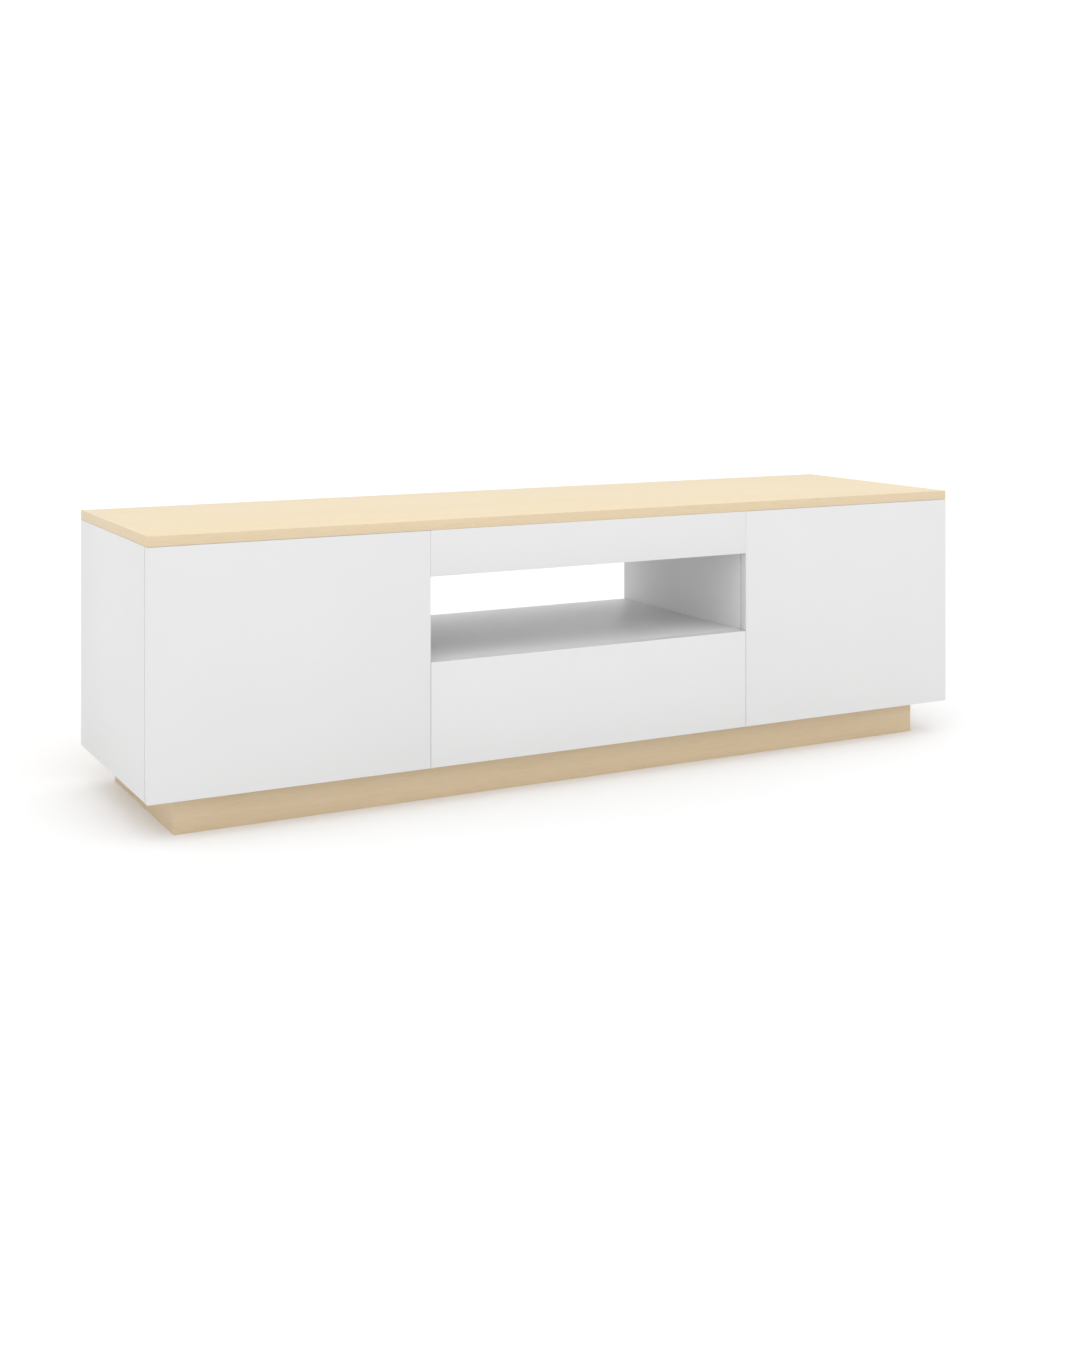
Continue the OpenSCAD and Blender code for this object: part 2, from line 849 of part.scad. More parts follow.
front_x = niche_x - drawer_gap;
inner_x = drawer_x - drawer_board_t;
drawer_cam_low = 30;
drawer_cam_high = 20;
drawer_cam_zs = [drawer_z0 + drawer_cam_low, drawer_z1 - drawer_cam_high];
drawer_cam_floor = 3;
drawer_cam_bore = drawer_board_t - drawer_cam_floor;
drawer_screw_len = 40;
drawer_screw_in = 30;
drawer_screw_zs = [drawer_z0 + drawer_screw_in, drawer_z1 - drawer_screw_in];

// cam joints between the drawer front and a side
function drawer_joints(s) = [
    for (z = drawer_cam_zs)
        [[s * (drawer_x - drawer_board_t / 2), y_behind, z], [0, 1, 0], [-s, 0, 0], [0, 0, 0]]
];

module drawer_bottom_shape(play) {
    block([-inner_x - groove + play, y_behind - groove + play, bottom_z],
        [inner_x + groove - play, drawer_back_y - drawer_board_t + groove - play, bottom_z + back_t]);
}

module drawer_bottom_cut() {
    drawer_bottom_shape(0);
    translate([0, 0, groove_play])
        drawer_bottom_shape(0);
}

module drawer_front() {
    color(WHITE)
        difference() {
            block([-front_x, y_front, z_base], [front_x, y_behind, z_shelf]);
            drawer_bottom_cut();
            for (j = concat(drawer_joints(-1), drawer_joints(1)))
                rod(j[0], j[1], -bolt_thread_h, 1, bolt_thread_d);
        }
}

module drawer_side() {
    color(WHITE)
        difference() {
            block([inner_x, y_behind, drawer_z0], [drawer_x, drawer_back_y, drawer_z1]);
            drawer_bottom_cut();
            for (j = drawer_joints(1)) {
                seat = j[0] + j[1] * cam_set;
                rod(seat, j[2], drawer_board_t / 2 - drawer_cam_bore, drawer_board_t, cam_d);
                rod(j[0], j[1], -1, cam_set + bolt_tip + bore_spare, bolt_bore_d);
            }
            drawer_back_screws(1);
            inner_slide_screws(1);
        }
}

module drawer_back() {
    color(WHITE)
        difference() {
            block([-inner_x, drawer_back_y - drawer_board_t, drawer_z0], [inner_x, drawer_back_y, drawer_z1]);
            drawer_bottom_cut();
            for (side = [-1, 1])
                sided(side)
                    drawer_back_screws(1);
        }
}

module drawer_bottom() {
    color(INSIDE)
        drawer_bottom_shape(groove_play);
}

module drawer_cams() {
    color(GREY)
        for (s = [-1, 1])
            for (j = drawer_joints(s))
                cam_lock(j, drawer_cam_bore, drawer_board_t / 2);
}

module drawer_cam_bolts() {
    color(STEEL)
        for (s = [-1, 1])
            for (j = drawer_joints(s))
                cam_bolt(j);
}

// screws through a drawer side into the end of the back
module drawer_back_screws(spare) {
    for (z = drawer_screw_zs)
        csk_screw([drawer_x, drawer_back_y - drawer_board_t / 2, z], [-1, 0, 0], drawer_screw_len, spare);
}

module drawer_screws() {
    color(STEEL)
        for (side = [-1, 1])
            sided(side) {
                drawer_back_screws(0);
                inner_slide_screws(0);
            }
}

// ---- slides, in a frame of u inwards from the partition and w up from the slide's middle ----

slide_w1 = slide_h / 2;
slide_w2 = slide_w1 - slide_web - ball_gap;
slide_w3 = slide_w2 - slide_web - ball_gap;
outer_u = 10.5;
middle_u = [1.8, 11.2];
inner_u = [4.2, slide_t];
slide_screw_steps = [35, 163];
slide_screw_rear = 40;
slide_screw_ys = [
    for (step = concat(slide_screw_steps, [slide_len - slide_screw_rear])) slide_front + step
];
slide_screw_d = 4;
slide_screw_head = 6;
slide_screw_len = 10;

module at_slide(side) {
    sided(side)
        translate([niche_x, 0, slide_z])
            mirror([1, 0, 0])
                children();
}

// a channel with its web at u0 to u1 and its flanges reaching to u2, half height w
module channel(u0, u1, u2, w) {
    low = min(u0, u2);
    high = max(u1, u2);
    block([u0, slide_front, -w], [u1, slide_front + slide_len, w]);
    for (flip = [0, 1])
        mirror([0, 0, flip])
            block([low, slide_front, w - slide_web], [high, slide_front + slide_len, w]);
}

// a countersunk screw through a slide's web; +Z points into the board
module slide_screw(spare) {
    cylinder(h = slide_screw_len, d = slide_screw_d);
    cylinder(h = slide_web, d1 = slide_screw_head, d2 = slide_screw_d);
    if (spare > 0)
        translate([0, 0, -spare])
            cylinder(h = spare, d = slide_screw_head);
}

module outer_slide_screws(spare) {
    for (y = slide_screw_ys)
        translate([slide_web, y, 0])
            along([-1, 0, 0])
                slide_screw(spare);
}

// drawn in the object's frame, for the right-hand side
module inner_slide_screws(spare) {
    for (y = slide_screw_ys)
        translate([drawer_x + slide_web, y, slide_z])
            along([-1, 0, 0])
                slide_screw(spare);
}

module slide_screw_cuts() {
    at_slide(1)
        outer_slide_screws(1);
}

module slide_outer(side) {
    color(STEEL)
        at_slide(side)
            difference() {
                channel(0, slide_web, outer_u, slide_w1);
                outer_slide_screws(1);
            }
}

module slide_inner(side) {
    color(STEEL)
        sided(side)
            difference() {
                translate([niche_x, 0, slide_z])
                    mirror([1, 0, 0])
                        channel(slide_t - slide_web, slide_t, inner_u[0], slide_w3);
                inner_slide_screws(1);
            }
}

ball_u = 7;
ball_step = 24;
ball_count = 6;
ball_start = 20;
cage_half = 2;
cage_t = 0.6;

// a strip of balls between two slide members
module ball_strip(w, y0) {
    y_end = y0 + (ball_count - 0.5) * ball_step;
    block([ball_u - cage_half, y0 - ball_step / 2, w - cage_t / 2],
        [ball_u + cage_half, y_end, w + cage_t / 2]);
    for (i = [0 : ball_count - 1])
        translate([ball_u, y0 + i * ball_step, w])
            sphere(r = ball_r, $fn = 24);
}

module slide_middle(side) {
    color(STEEL)
        at_slide(side) {
            channel(middle_u[0], middle_u[0] + slide_web, middle_u[1], slide_w2);
            for (flip = [0, 1])
                mirror([0, 0, flip]) {
                    ball_strip(slide_w2 + ball_gap / 2, slide_front + slide_len / 2 + ball_start);
                    ball_strip(slide_w3 + ball_gap / 2, slide_front + ball_start);
                }
        }
}

module slide_screws() {
    color(STEEL)
        for (side = [-1, 1])
            at_slide(side)
                outer_slide_screws(0);
}

// ---- what is drawn ----

top_panel();
bottom_panel();
sided(-1) side_panel();  // left_side_panel
side_panel();  // right_side_panel
sided(-1) partition();  // left_partition
partition();  // right_partition
niche_shelf();
niche_rail();
front_stretcher();
rear_stretcher();
sided(-1) cupboard_back();  // left_back_panel
cupboard_back();  // right_back_panel
drawer_bay_back();
sided(-1) cupboard_shelf();  // left_shelf
cupboard_shelf();  // right_shelf
plinth_long(plinth_y0);  // plinth_front
plinth_long(plinth_y1 - board_t);  // plinth_rear
plinth_short(-plinth_x + board_t / 2);  // plinth_left_end
plinth_short(plinth_x - board_t / 2);  // plinth_right_end
plinth_short(-cross_x);  // plinth_left_cross
plinth_short(cross_x);  // plinth_right_cross
cam_locks();
cam_bolts();
wood_dowels();
back_panel_nails();
shelf_pins();
rail_screws();
plinth_brackets();
plinth_screws();
color(STEEL) at_hinges(-1) hinge_arm();  // left_hinge_arms
color(STEEL) at_hinges(1) hinge_arm();  // right_hinge_arms
color(GREY) for (side = [-1, 1]) at_hinges(side) hinge_plate();  // hinge_plates
color(STEEL) for (side = [-1, 1]) at_hinges(side) hinge_plate_screw_set();  // hinge_plate_screws
slide_outer(-1);  // left_slide_outer
slide_outer(1);  // right_slide_outer
slide_screws();
color(GREY) for (at = [door_latch(-1), door_latch(1), drawer_latch]) latch_housing(at);  // latch_housings
sided(-1) door();  // left_door
color(STEEL) at_hinges(-1) hinge_cup();  // left_hinge_cups
color(GREY) at_hinges(-1) hinge_pin();  // left_hinge_pins
color(GREY) at_hinges(-1) cup_screws();  // left_cup_screws
door();  // right_door
color(STEEL) at_hinges(1) hinge_cup();  // right_hinge_cups
color(GREY) at_hinges(1) hinge_pin();  // right_hinge_pins
color(GREY) at_hinges(1) cup_screws();  // right_cup_screws
drawer_front();
sided(-1) drawer_side();  // drawer_left_side
drawer_side();  // drawer_right_side
drawer_back();
drawer_bottom();
slide_inner(-1);  // left_slide_inner
slide_inner(1);  // right_slide_inner
drawer_cams();
drawer_cam_bolts();
drawer_screws();
slide_middle(-1);  // left_slide_middle
slide_middle(1);  // right_slide_middle
color(WHITE) latch_plunger(door_latch(-1));  // left_latch_plunger
color(WHITE) latch_plunger(door_latch(1));  // right_latch_plunger
color(WHITE) latch_plunger(drawer_latch);  // drawer_latch_plunger
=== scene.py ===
import math

import bmesh
import bpy
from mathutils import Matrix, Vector


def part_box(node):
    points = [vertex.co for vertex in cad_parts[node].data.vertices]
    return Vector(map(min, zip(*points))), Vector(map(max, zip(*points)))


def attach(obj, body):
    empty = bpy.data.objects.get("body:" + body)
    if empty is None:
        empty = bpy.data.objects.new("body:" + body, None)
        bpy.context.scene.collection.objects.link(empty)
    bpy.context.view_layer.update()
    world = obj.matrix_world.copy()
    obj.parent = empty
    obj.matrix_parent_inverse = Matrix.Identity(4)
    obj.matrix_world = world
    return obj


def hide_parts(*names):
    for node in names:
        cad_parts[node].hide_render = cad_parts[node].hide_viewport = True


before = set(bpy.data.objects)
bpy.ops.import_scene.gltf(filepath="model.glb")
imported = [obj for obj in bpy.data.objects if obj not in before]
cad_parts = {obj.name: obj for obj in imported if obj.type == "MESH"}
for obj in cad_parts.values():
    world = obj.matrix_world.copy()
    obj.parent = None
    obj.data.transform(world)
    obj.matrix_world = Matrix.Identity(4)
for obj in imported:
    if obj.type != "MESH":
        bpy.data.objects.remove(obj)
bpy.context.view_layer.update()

# ---------------------------------------------------------------- camera, floor and light

SENSOR = 36.0

CAMERA_AT = (-1.4154, -2.6612, 0.7509)
CAMERA_TURN = math.radians(-28.08)
CAMERA_LENS = 45.644
HORIZON_SHIFT = -0.2564
VIEW_REACH = 200.0

WORLD_STRENGTH = 1.06
LIGHT_STRENGTH = 0.52
LIGHT_SPREAD = math.radians(70.0)
LIGHT_LEAN = math.radians(40.0)
LIGHT_TURN = math.radians(-20.0)
LIGHT_HEIGHT = 4.0
FLOOR_HALF = 60.0
FLOOR_PAINT = (0.93, 0.93, 0.93, 1.0)


def set_camera():
    """A level camera that stands left of the front and turns right, towards the stand."""
    data = bpy.data.cameras.new("studio_camera")
    data.sensor_width = SENSOR
    data.lens = CAMERA_LENS
    data.shift_y = HORIZON_SHIFT
    data.clip_end = VIEW_REACH
    camera = bpy.data.objects.new("studio_camera", data)
    camera.location = CAMERA_AT
    camera.rotation_euler = (math.radians(90.0), 0.0, CAMERA_TURN)
    bpy.context.collection.objects.link(camera)
    bpy.context.scene.camera = camera


def set_world():
    world = bpy.data.worlds.new("studio_world")
    world.use_nodes = True
    sky = world.node_tree.nodes["Background"]
    sky.inputs["Color"].default_value = (1.0, 1.0, 1.0, 1.0)
    sky.inputs["Strength"].default_value = WORLD_STRENGTH
    bpy.context.scene.world = world


def overhead_light():
    """A wide soft light from above the front and a little from the left."""
    data = bpy.data.lights.new("overhead", "SUN")
    data.energy = LIGHT_STRENGTH
    data.angle = LIGHT_SPREAD
    light = bpy.data.objects.new("overhead", data)
    light.location = (0.0, 0.0, LIGHT_HEIGHT)
    light.rotation_euler = (LIGHT_LEAN, 0.0, LIGHT_TURN)
    bpy.context.collection.objects.link(light)


def studio_floor():
    half = FLOOR_HALF
    mesh = bpy.data.meshes.new("studio_floor")
    mesh.from_pydata(
        [(-half, -half, 0.0), (half, -half, 0.0), (half, half, 0.0), (-half, half, 0.0)],
        [],
        [(0, 1, 2, 3)],
    )
    floor = bpy.data.objects.new("studio_floor", mesh)
    bpy.context.collection.objects.link(floor)
    mat, shader, _ = new_material("studio_floor_paint")
    shader.inputs["Base Color"].default_value = FLOOR_PAINT
    shader.inputs["Roughness"].default_value = 1.0
    shader.inputs["Specular IOR Level"].default_value = 0.0
    mesh.materials.append(mat)


# ---------------------------------------------------------------- material helpers


def new_material(name):
    mat = bpy.data.materials.new(name)
    mat.use_nodes = True
    tree = mat.node_tree
    shader = tree.nodes["Principled BSDF"]
    return mat, shader, tree


def node_of(tree, kind, **inputs):
    """A shader node with its inputs set by name; spaces in a name are written as underscores."""
    made = tree.nodes.new(kind)
    for name, value in inputs.items():
        made.inputs[name.replace("_", " ")].default_value = value
    return made


def object_points(tree, scale):
    """Object coordinates scaled per axis, for patterns that are sized in metres."""
    source = tree.nodes.new("ShaderNodeTexCoord")
    mapping = tree.nodes.new("ShaderNodeMapping")
    mapping.inputs["Scale"].default_value = scale
    tree.links.new(source.outputs["Object"], mapping.inputs["Vector"])
    return mapping.outputs["Vector"]


def noise(tree, points, scale, detail=2.0, roughness=0.5, distortion=0.0):
    made = node_of(tree, "ShaderNodeTexNoise", Scale=scale, Detail=detail,
                   Roughness=roughness, Distortion=distortion)
    tree.links.new(points, made.inputs["Vector"])
    return made.outputs["Fac"]


def ramp(tree, value, stops):
    """A colour ramp of (position, colour) stops."""
    made = tree.nodes.new("ShaderNodeValToRGB")
    band = made.color_ramp
    while len(band.elements) < len(stops):
        band.elements.new(0.5)
    for element, (at, colour) in zip(band.elements, stops):
        element.position = at
        element.color = (*colour, 1.0)
    tree.links.new(value, made.inputs["Fac"])
    return made.outputs["Color"]


def mixed(tree, factor, a, b, mode="MIX"):
    """Two colours mixed; factor, a and b are sockets, or plain values."""
    made = tree.nodes.new("ShaderNodeMix")
    made.data_type = "RGBA"
    made.blend_type = mode
    for socket, value in ((made.inputs[0], factor), (made.inputs[6], a), (made.inputs[7], b)):
        if isinstance(value, bpy.types.NodeSocket):
            tree.links.new(value, socket)
        elif isinstance(value, (int, float)):
            socket.default_value = value
        else:
            socket.default_value = (*value, 1.0)
    return made.outputs[2]


def arithmetic(tree, operation, a, b):
    made = tree.nodes.new("ShaderNodeMath")
    made.operation = operation
    for socket, value in ((made.inputs[0], a), (made.inputs[1], b)):
        if isinstance(value, bpy.types.NodeSocket):
            tree.links.new(value, socket)
        else:
            socket.default_value = value
    return made.outputs[0]


def span(tree, value, low, high):
    """A 0 to 1 value spread over low to high."""
    made = node_of(tree, "ShaderNodeMapRange", To_Min=low, To_Max=high)
    tree.links.new(value, made.inputs["Value"])
    return made.outputs["Result"]


def bump(tree, shader, height, strength, distance):
    made = node_of(tree, "ShaderNodeBump", Strength=strength, Distance=distance)
    tree.links.new(height, made.inputs["Height"])
    tree.links.new(made.outputs["Normal"], shader.inputs["Normal"])


def shaded(colour, share):
    return tuple(c * share for c in colour)


# ---------------------------------------------------------------- finishes

PLAIN = (1.0, 1.0, 1.0)
ACROSS_GRAIN = 5.0
ALONG_GRAIN = 0.35
RING_SHARE = 0.45
STREAK_SHARE = 0.55
ACROSS_BRUSH = 900.0
ALONG_BRUSH = 30.0


def white_melamine(name, colour, roughness):
    """White melamine-faced board: a fine pearl texture, faint mottle and uneven sheen."""
    mat, shader, tree = new_material(name)
    points = object_points(tree, PLAIN)
    mottle = noise(tree, points, scale=9.0, detail=3.0)
    tones = [(0.3, shaded(colour, 0.995)), (0.7, shaded(colour, 1.005))]
    tree.links.new(ramp(tree, mottle, tones), shader.inputs["Base Color"])
    sheen = noise(tree, points, scale=35.0, detail=4.0)
    tree.links.new(span(tree, sheen, roughness - 0.04, roughness + 0.05), shader.inputs["Roughness"])
    pearl = noise(tree, points, scale=1400.0, detail=2.0)
    bump(tree, shader, pearl, strength=0.06, distance=0.00008)
    shader.inputs["Specular IOR Level"].default_value = 0.3
    return mat


def oak_grain(tree, scale):
    """Straight fine wood figure: long streaks, a wandering ring pattern and short pores."""
    points = object_points(tree, scale)
    rings = noise(tree, points, scale=5.0, detail=4.0, roughness=0.55, distortion=0.6)
    streaks = noise(tree, points, scale=22.0, detail=6.0, roughness=0.7)
    pores = noise(tree, points, scale=120.0, detail=3.0, roughness=0.6)
    return rings, streaks, pores


def oak_decor(name, along, light, dark, roughness=0.48):
    """Light wood decor with its grain along one axis."""
    mat, shader, tree = new_material(name)
    scale = [ACROSS_GRAIN] * 3
    scale["XYZ".index(along)] = ALONG_GRAIN
    rings, streaks, pores = oak_grain(tree, scale)
    figure = arithmetic(tree, "ADD",
                        arithmetic(tree, "MULTIPLY", rings, RING_SHARE),
                        arithmetic(tree, "MULTIPLY", streaks, STREAK_SHARE))
    middle = tuple((a + b) / 2 for a, b in zip(light, dark))
    tone = ramp(tree, figure, [(0.32, dark), (0.52, middle), (0.70, light)])
    fleck = ramp(tree, pores, [(0.36, (0.93, 0.91, 0.88)), (0.46, (1.0, 1.0, 1.0))])
    tree.links.new(mixed(tree, 0.6, tone, fleck, "MULTIPLY"), shader.inputs["Base Color"])
    tree.links.new(span(tree, streaks, roughness - 0.05, roughness + 0.07), shader.inputs["Roughness"])
    relief = arithmetic(tree, "ADD", streaks, pores)
    bump(tree, shader, relief, strength=0.10, distance=0.00012)
    shader.inputs["Specular IOR Level"].default_value = 0.35
    return mat


def raw_chipboard(name):
    """The bare core of the boards, where an edge has no band: pressed wood chips."""
    mat, shader, tree = new_material(name)
    points = object_points(tree, PLAIN)
    chips = node_of(tree, "ShaderNodeTexVoronoi", Scale=420.0, Randomness=1.0)
    tree.links.new(points, chips.inputs["Vector"])
    tone = ramp(tree, noise(tree, points, scale=600.0, detail=4.0, roughness=0.7),
                [(0.25, (0.30, 0.19, 0.10)), (0.5, (0.52, 0.37, 0.22)), (0.75, (0.70, 0.55, 0.36))])
    varied = mixed(tree, 0.35, tone, chips.outputs["Color"], "SOFT_LIGHT")
    tree.links.new(varied, shader.inputs["Base Color"])
    shader.inputs["Roughness"].default_value = 0.9
    shader.inputs["Specular IOR Level"].default_value = 0.2
    bump(tree, shader, chips.outputs["Distance"], strength=0.5, distance=0.0004)
    return mat


def brown_hardboard(name):
    """The bare rear face of the back panels: dense brown fibre."""
    mat, shader, tree = new_material(name)
    points = object_points(tree, PLAIN)
    fibre = noise(tree, points, scale=260.0, detail=6.0, roughness=0.75)
    cloud = noise(tree, points, scale=6.0, detail=3.0)
    tone = ramp(tree, fibre, [(0.3, (0.27, 0.165, 0.085)), (0.7, (0.42, 0.28, 0.16))])
    shade = ramp(tree, cloud, [(0.3, (0.92, 0.92, 0.92)), (0.7, (1.0, 1.0, 1.0))])
    tree.links.new(mixed(tree, 1.0, tone, shade, "MULTIPLY"), shader.inputs["Base Color"])
    shader.inputs["Roughness"].default_value = 0.75
    shader.inputs["Specular IOR Level"].default_value = 0.25
    bump(tree, shader, fibre, strength=0.25, distance=0.0002)
    return mat


def plated_steel(name, colour, roughness, brushed):
    """Zinc-plated steel: brushed, with a cloudy plating."""
    mat, shader, tree = new_material(name)
    scale = [ACROSS_BRUSH] * 3
    scale["XYZ".index(brushed)] = ALONG_BRUSH
    brush = noise(tree, object_points(tree, scale), scale=1.0, detail=2.0)
    cloud = noise(tree, object_points(tree, PLAIN), scale=60.0, detail=4.0)
    tones = [(0.3, shaded(colour, 0.88)), (0.7, colour)]
    tree.links.new(ramp(tree, cloud, tones), shader.inputs["Base Color"])
    tree.links.new(span(tree, brush, roughness - 0.08, roughness + 0.1), shader.inputs["Roughness"])
    bump(tree, shader, brush, strength=0.12, distance=0.00006)
    shader.inputs["Metallic"].default_value = 1.0
    return mat


def die_cast(name, colour):
    """Bare zinc casting: dull, with a fine grain."""
    mat, shader, tree = new_material(name)
    points = object_points(tree, PLAIN)
    grain = noise(tree, points, scale=1800.0, detail=3.0)
    tones = [(0.3, shaded(colour, 0.85)), (0.7, colour)]
    tree.links.new(ramp(tree, grain, tones), shader.inputs["Base Color"])
    tree.links.new(span(tree, grain, 0.38, 0.55), shader.inputs["Roughness"])
    bump(tree, shader, grain, strength=0.2, distance=0.00008)
    shader.inputs["Metallic"].default_value = 1.0
    return mat


def beech(name):
    """Turned beech: short pale fibres."""
    mat, shader, tree = new_material(name)
    points = object_points(tree, PLAIN)
    fibre = noise(tree, points, scale=500.0, detail=4.0)
    tree.links.new(ramp(tree, fibre, [(0.3, (0.50, 0.33, 0.18)), (0.7, (0.66, 0.48, 0.30))]),
                   shader.inputs["Base Color"])
    shader.inputs["Roughness"].default_value = 0.7
    bump(tree, shader, fibre, strength=0.2, distance=0.0001)
    return mat


def moulded_plastic(name, colour):
    """White acetal: a fine moulded matt with a faint mottle."""
    mat, shader, tree = new_material(name)
    points = object_points(tree, PLAIN)
    grain = noise(tree, points, scale=2200.0, detail=2.0)
    tones = [(0.3, shaded(colour, 0.97)), (0.7, colour)]
    tree.links.new(ramp(tree, grain, tones), shader.inputs["Base Color"])
    tree.links.new(span(tree, grain, 0.36, 0.46), shader.inputs["Roughness"])
    bump(tree, shader, grain, strength=0.1, distance=0.00005)
    return mat


WHITE = (0.692, 0.692, 0.692)
# The top's oak is painted lighter than the same oak on its edge bands: painted sheen and light that
# the top catches from above.
OAK_TOP_SHEEN_LIGHT = (0.781, 0.650, 0.440)
OAK_TOP_SHEEN_DARK = (0.749, 0.618, 0.408)
BAND_LIGHT = (0.690, 0.560, 0.380)
BAND_DARK = (0.659, 0.530, 0.349)
# The plinth's oak is painted darker than the top's oak: painted shade for the recess under the
# carcass.
PLINTH_SHADED_LIGHT = (0.683, 0.548, 0.373)
PLINTH_SHADED_DARK = (0.641, 0.502, 0.329)
ZINC = (0.74, 0.75, 0.77)
ZINC_ROUGHNESS = 0.34

face_white = white_melamine("white_melamine", WHITE, 0.42)
band_white = white_melamine("white_edge_band", shaded(WHITE, 1.005), 0.36)
# A lighter copy of the white melamine for the inside boards and the top's underside: painted light
# that lifts the shade in the niche.
inner_white_painted_light = white_melamine("inner_melamine_painted_light", shaded(WHITE, 1.065), 0.42)
inside_white = white_melamine("white_hardboard", shaded(WHITE, 0.985), 0.5)
# The top face, in the lighter oak that paints its sheen.
oak_face_painted_sheen = oak_decor("oak_face_painted_sheen", "X", OAK_TOP_SHEEN_LIGHT, OAK_TOP_SHEEN_DARK)
oak_long_band = oak_decor("oak_long_band", "X", BAND_LIGHT, BAND_DARK)
oak_side_band = oak_decor("oak_side_band", "Y", BAND_LIGHT, BAND_DARK)
# The plinth, in the darker oak that paints the shade under the carcass.
plinth_face_painted_shade = oak_decor("plinth_face_painted_shade", "X", PLINTH_SHADED_LIGHT, PLINTH_SHADED_DARK)
plinth_side_painted_shade = oak_decor("plinth_side_painted_shade", "Y", PLINTH_SHADED_LIGHT, PLINTH_SHADED_DARK)
core = raw_chipboard("raw_chipboard")
hardboard = brown_hardboard("brown_hardboard")
zinc_x = plated_steel("zinc_plate_x", ZINC, ZINC_ROUGHNESS, "X")
zinc_y = plated_steel("zinc_plate_y", ZINC, ZINC_ROUGHNESS, "Y")
casting = die_cast("zinc_casting", (0.50, 0.51, 0.53))
beech_wood = beech("beech_wood")
acetal = moulded_plastic("white_acetal", (0.80, 0.80, 0.79))

# ---------------------------------------------------------------- shared mesh work

MERGE = 0.000002
ON_PLANE = 0.00002
SIDES = {"-x": (0, 0), "+x": (0, 1), "-y": (1, 0), "+y": (1, 1), "-z": (2, 0), "+z": (2, 1)}
SMOOTH_BELOW = math.radians(32.0)
SHARP_ABOVE = math.radians(40.0)
FLAT_BELOW = math.radians(0.1)


def merged_copy(node):
    """A CAD node's mesh with its loose triangles joined."""
    bm = bmesh.new()
    bm.from_mesh(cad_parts[node].data)
    bmesh.ops.remove_doubles(bm, verts=bm.verts, dist=MERGE)
    bmesh.ops.dissolve_limit(bm, angle_limit=FLAT_BELOW, verts=bm.verts, edges=bm.edges)
    return bm


def soften(bm):
    """Smooth shading over shallow angles and sharp edges over steep ones."""
    for face in bm.faces:
        face.smooth = True
    for edge in bm.edges:
        edge.smooth = len(edge.link_faces) == 2 and edge.calc_face_angle(0.0) < SMOOTH_BELOW


def finished(name, bm, finishes, body, nodes):
    """Turns a bmesh into a piece that rides on a body and stands for its CAD nodes."""
    soften(bm)
    mesh = bpy.data.meshes.new(name)
    bm.to_mesh(mesh)
    bm.free()
    for finish in finishes:
        mesh.materials.append(finish)
    piece = bpy.data.objects.new(name, mesh)
    bpy.context.collection.objects.link(piece)
    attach(piece, body)
    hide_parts(*nodes)
    return piece


# ---------------------------------------------------------------- boards

BOARD_EDGE = 0.0005
TOP_EDGE = 0.0008
UPRIGHT_EDGE = 0.0003
FINE_EDGE = 0.0002
EDGE_PLAY = 1.05
MOSTLY_FACING = 0.5


def outer_edges(bm, low, high):
    """The edges that lie along an edge of the board's box."""
    found = []
    for edge in bm.edges:
        touching = 0
        for axis in range(3):
            for limit in (low[axis], high[axis]):
                if all(abs(v.co[axis] - limit) < ON_PLANE for v in edge.verts):
                    touching += 1
        if touching >= 2:
            found.append(edge)
    return found


def side_of(face, low, high, edge):
    """The side of the box that a face lies on, or None for a bore, groove or rebate."""
    centre = face.calc_center_median()
    best = None
    for side, (axis, end) in SIDES.items():
        outwards = face.normal[axis] * (1 if end else -1)
        if abs(centre[axis] - (low, high)[end][axis]) > edge * EDGE_PLAY or outwards < MOSTLY_FACING:
            continue
        if best is None or outwards > best[0]:
            best = (outwards, side)
    return best[1] if best else None


def board(name, node, body, faces, base, inner, edge=BOARD_EDGE):
    """A CAD board with eased edges. faces gives the finish of a side of its box, base that of the
    other sides, and inner that of what is cut into it, such as the wall of a bore."""
    low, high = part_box(node)
    bm = merged_copy(node)
    bmesh.ops.bevel(bm, geom=outer_edges(bm, low, high), offset=edge, segments=2,
                    profile=0.5, affect="EDGES", clamp_overlap=True)
    finishes = [inner, base]
    for face in bm.faces:
        side = side_of(face, low, high, edge)
        finish = inner if side is None else faces.get(side, base)
        if finish not in finishes:
            finishes.append(finish)
        face.material_index = finishes.index(finish)
    return finished(name, bm, finishes, body, [node])


def white_board(name, node, body, faces, edge=BOARD_EDGE, base=face_white):
    return board(name, node, body, faces, base, core, edge)


# Inside boards take the lighter white copy, which paints light into the niche.
def inner_board_painted_light(name, node, faces, edge=BOARD_EDGE):
    return white_board(name, node, "root", faces, edge, inner_white_painted_light)


def top_board():
    faces = {"-z": inner_white_painted_light, "-y": oak_long_band, "+y": oak_long_band,
             "-x": oak_side_band, "+x": oak_side_band}
    board("top_board", "top_panel", "root", faces, oak_face_painted_sheen, core, TOP_EDGE)


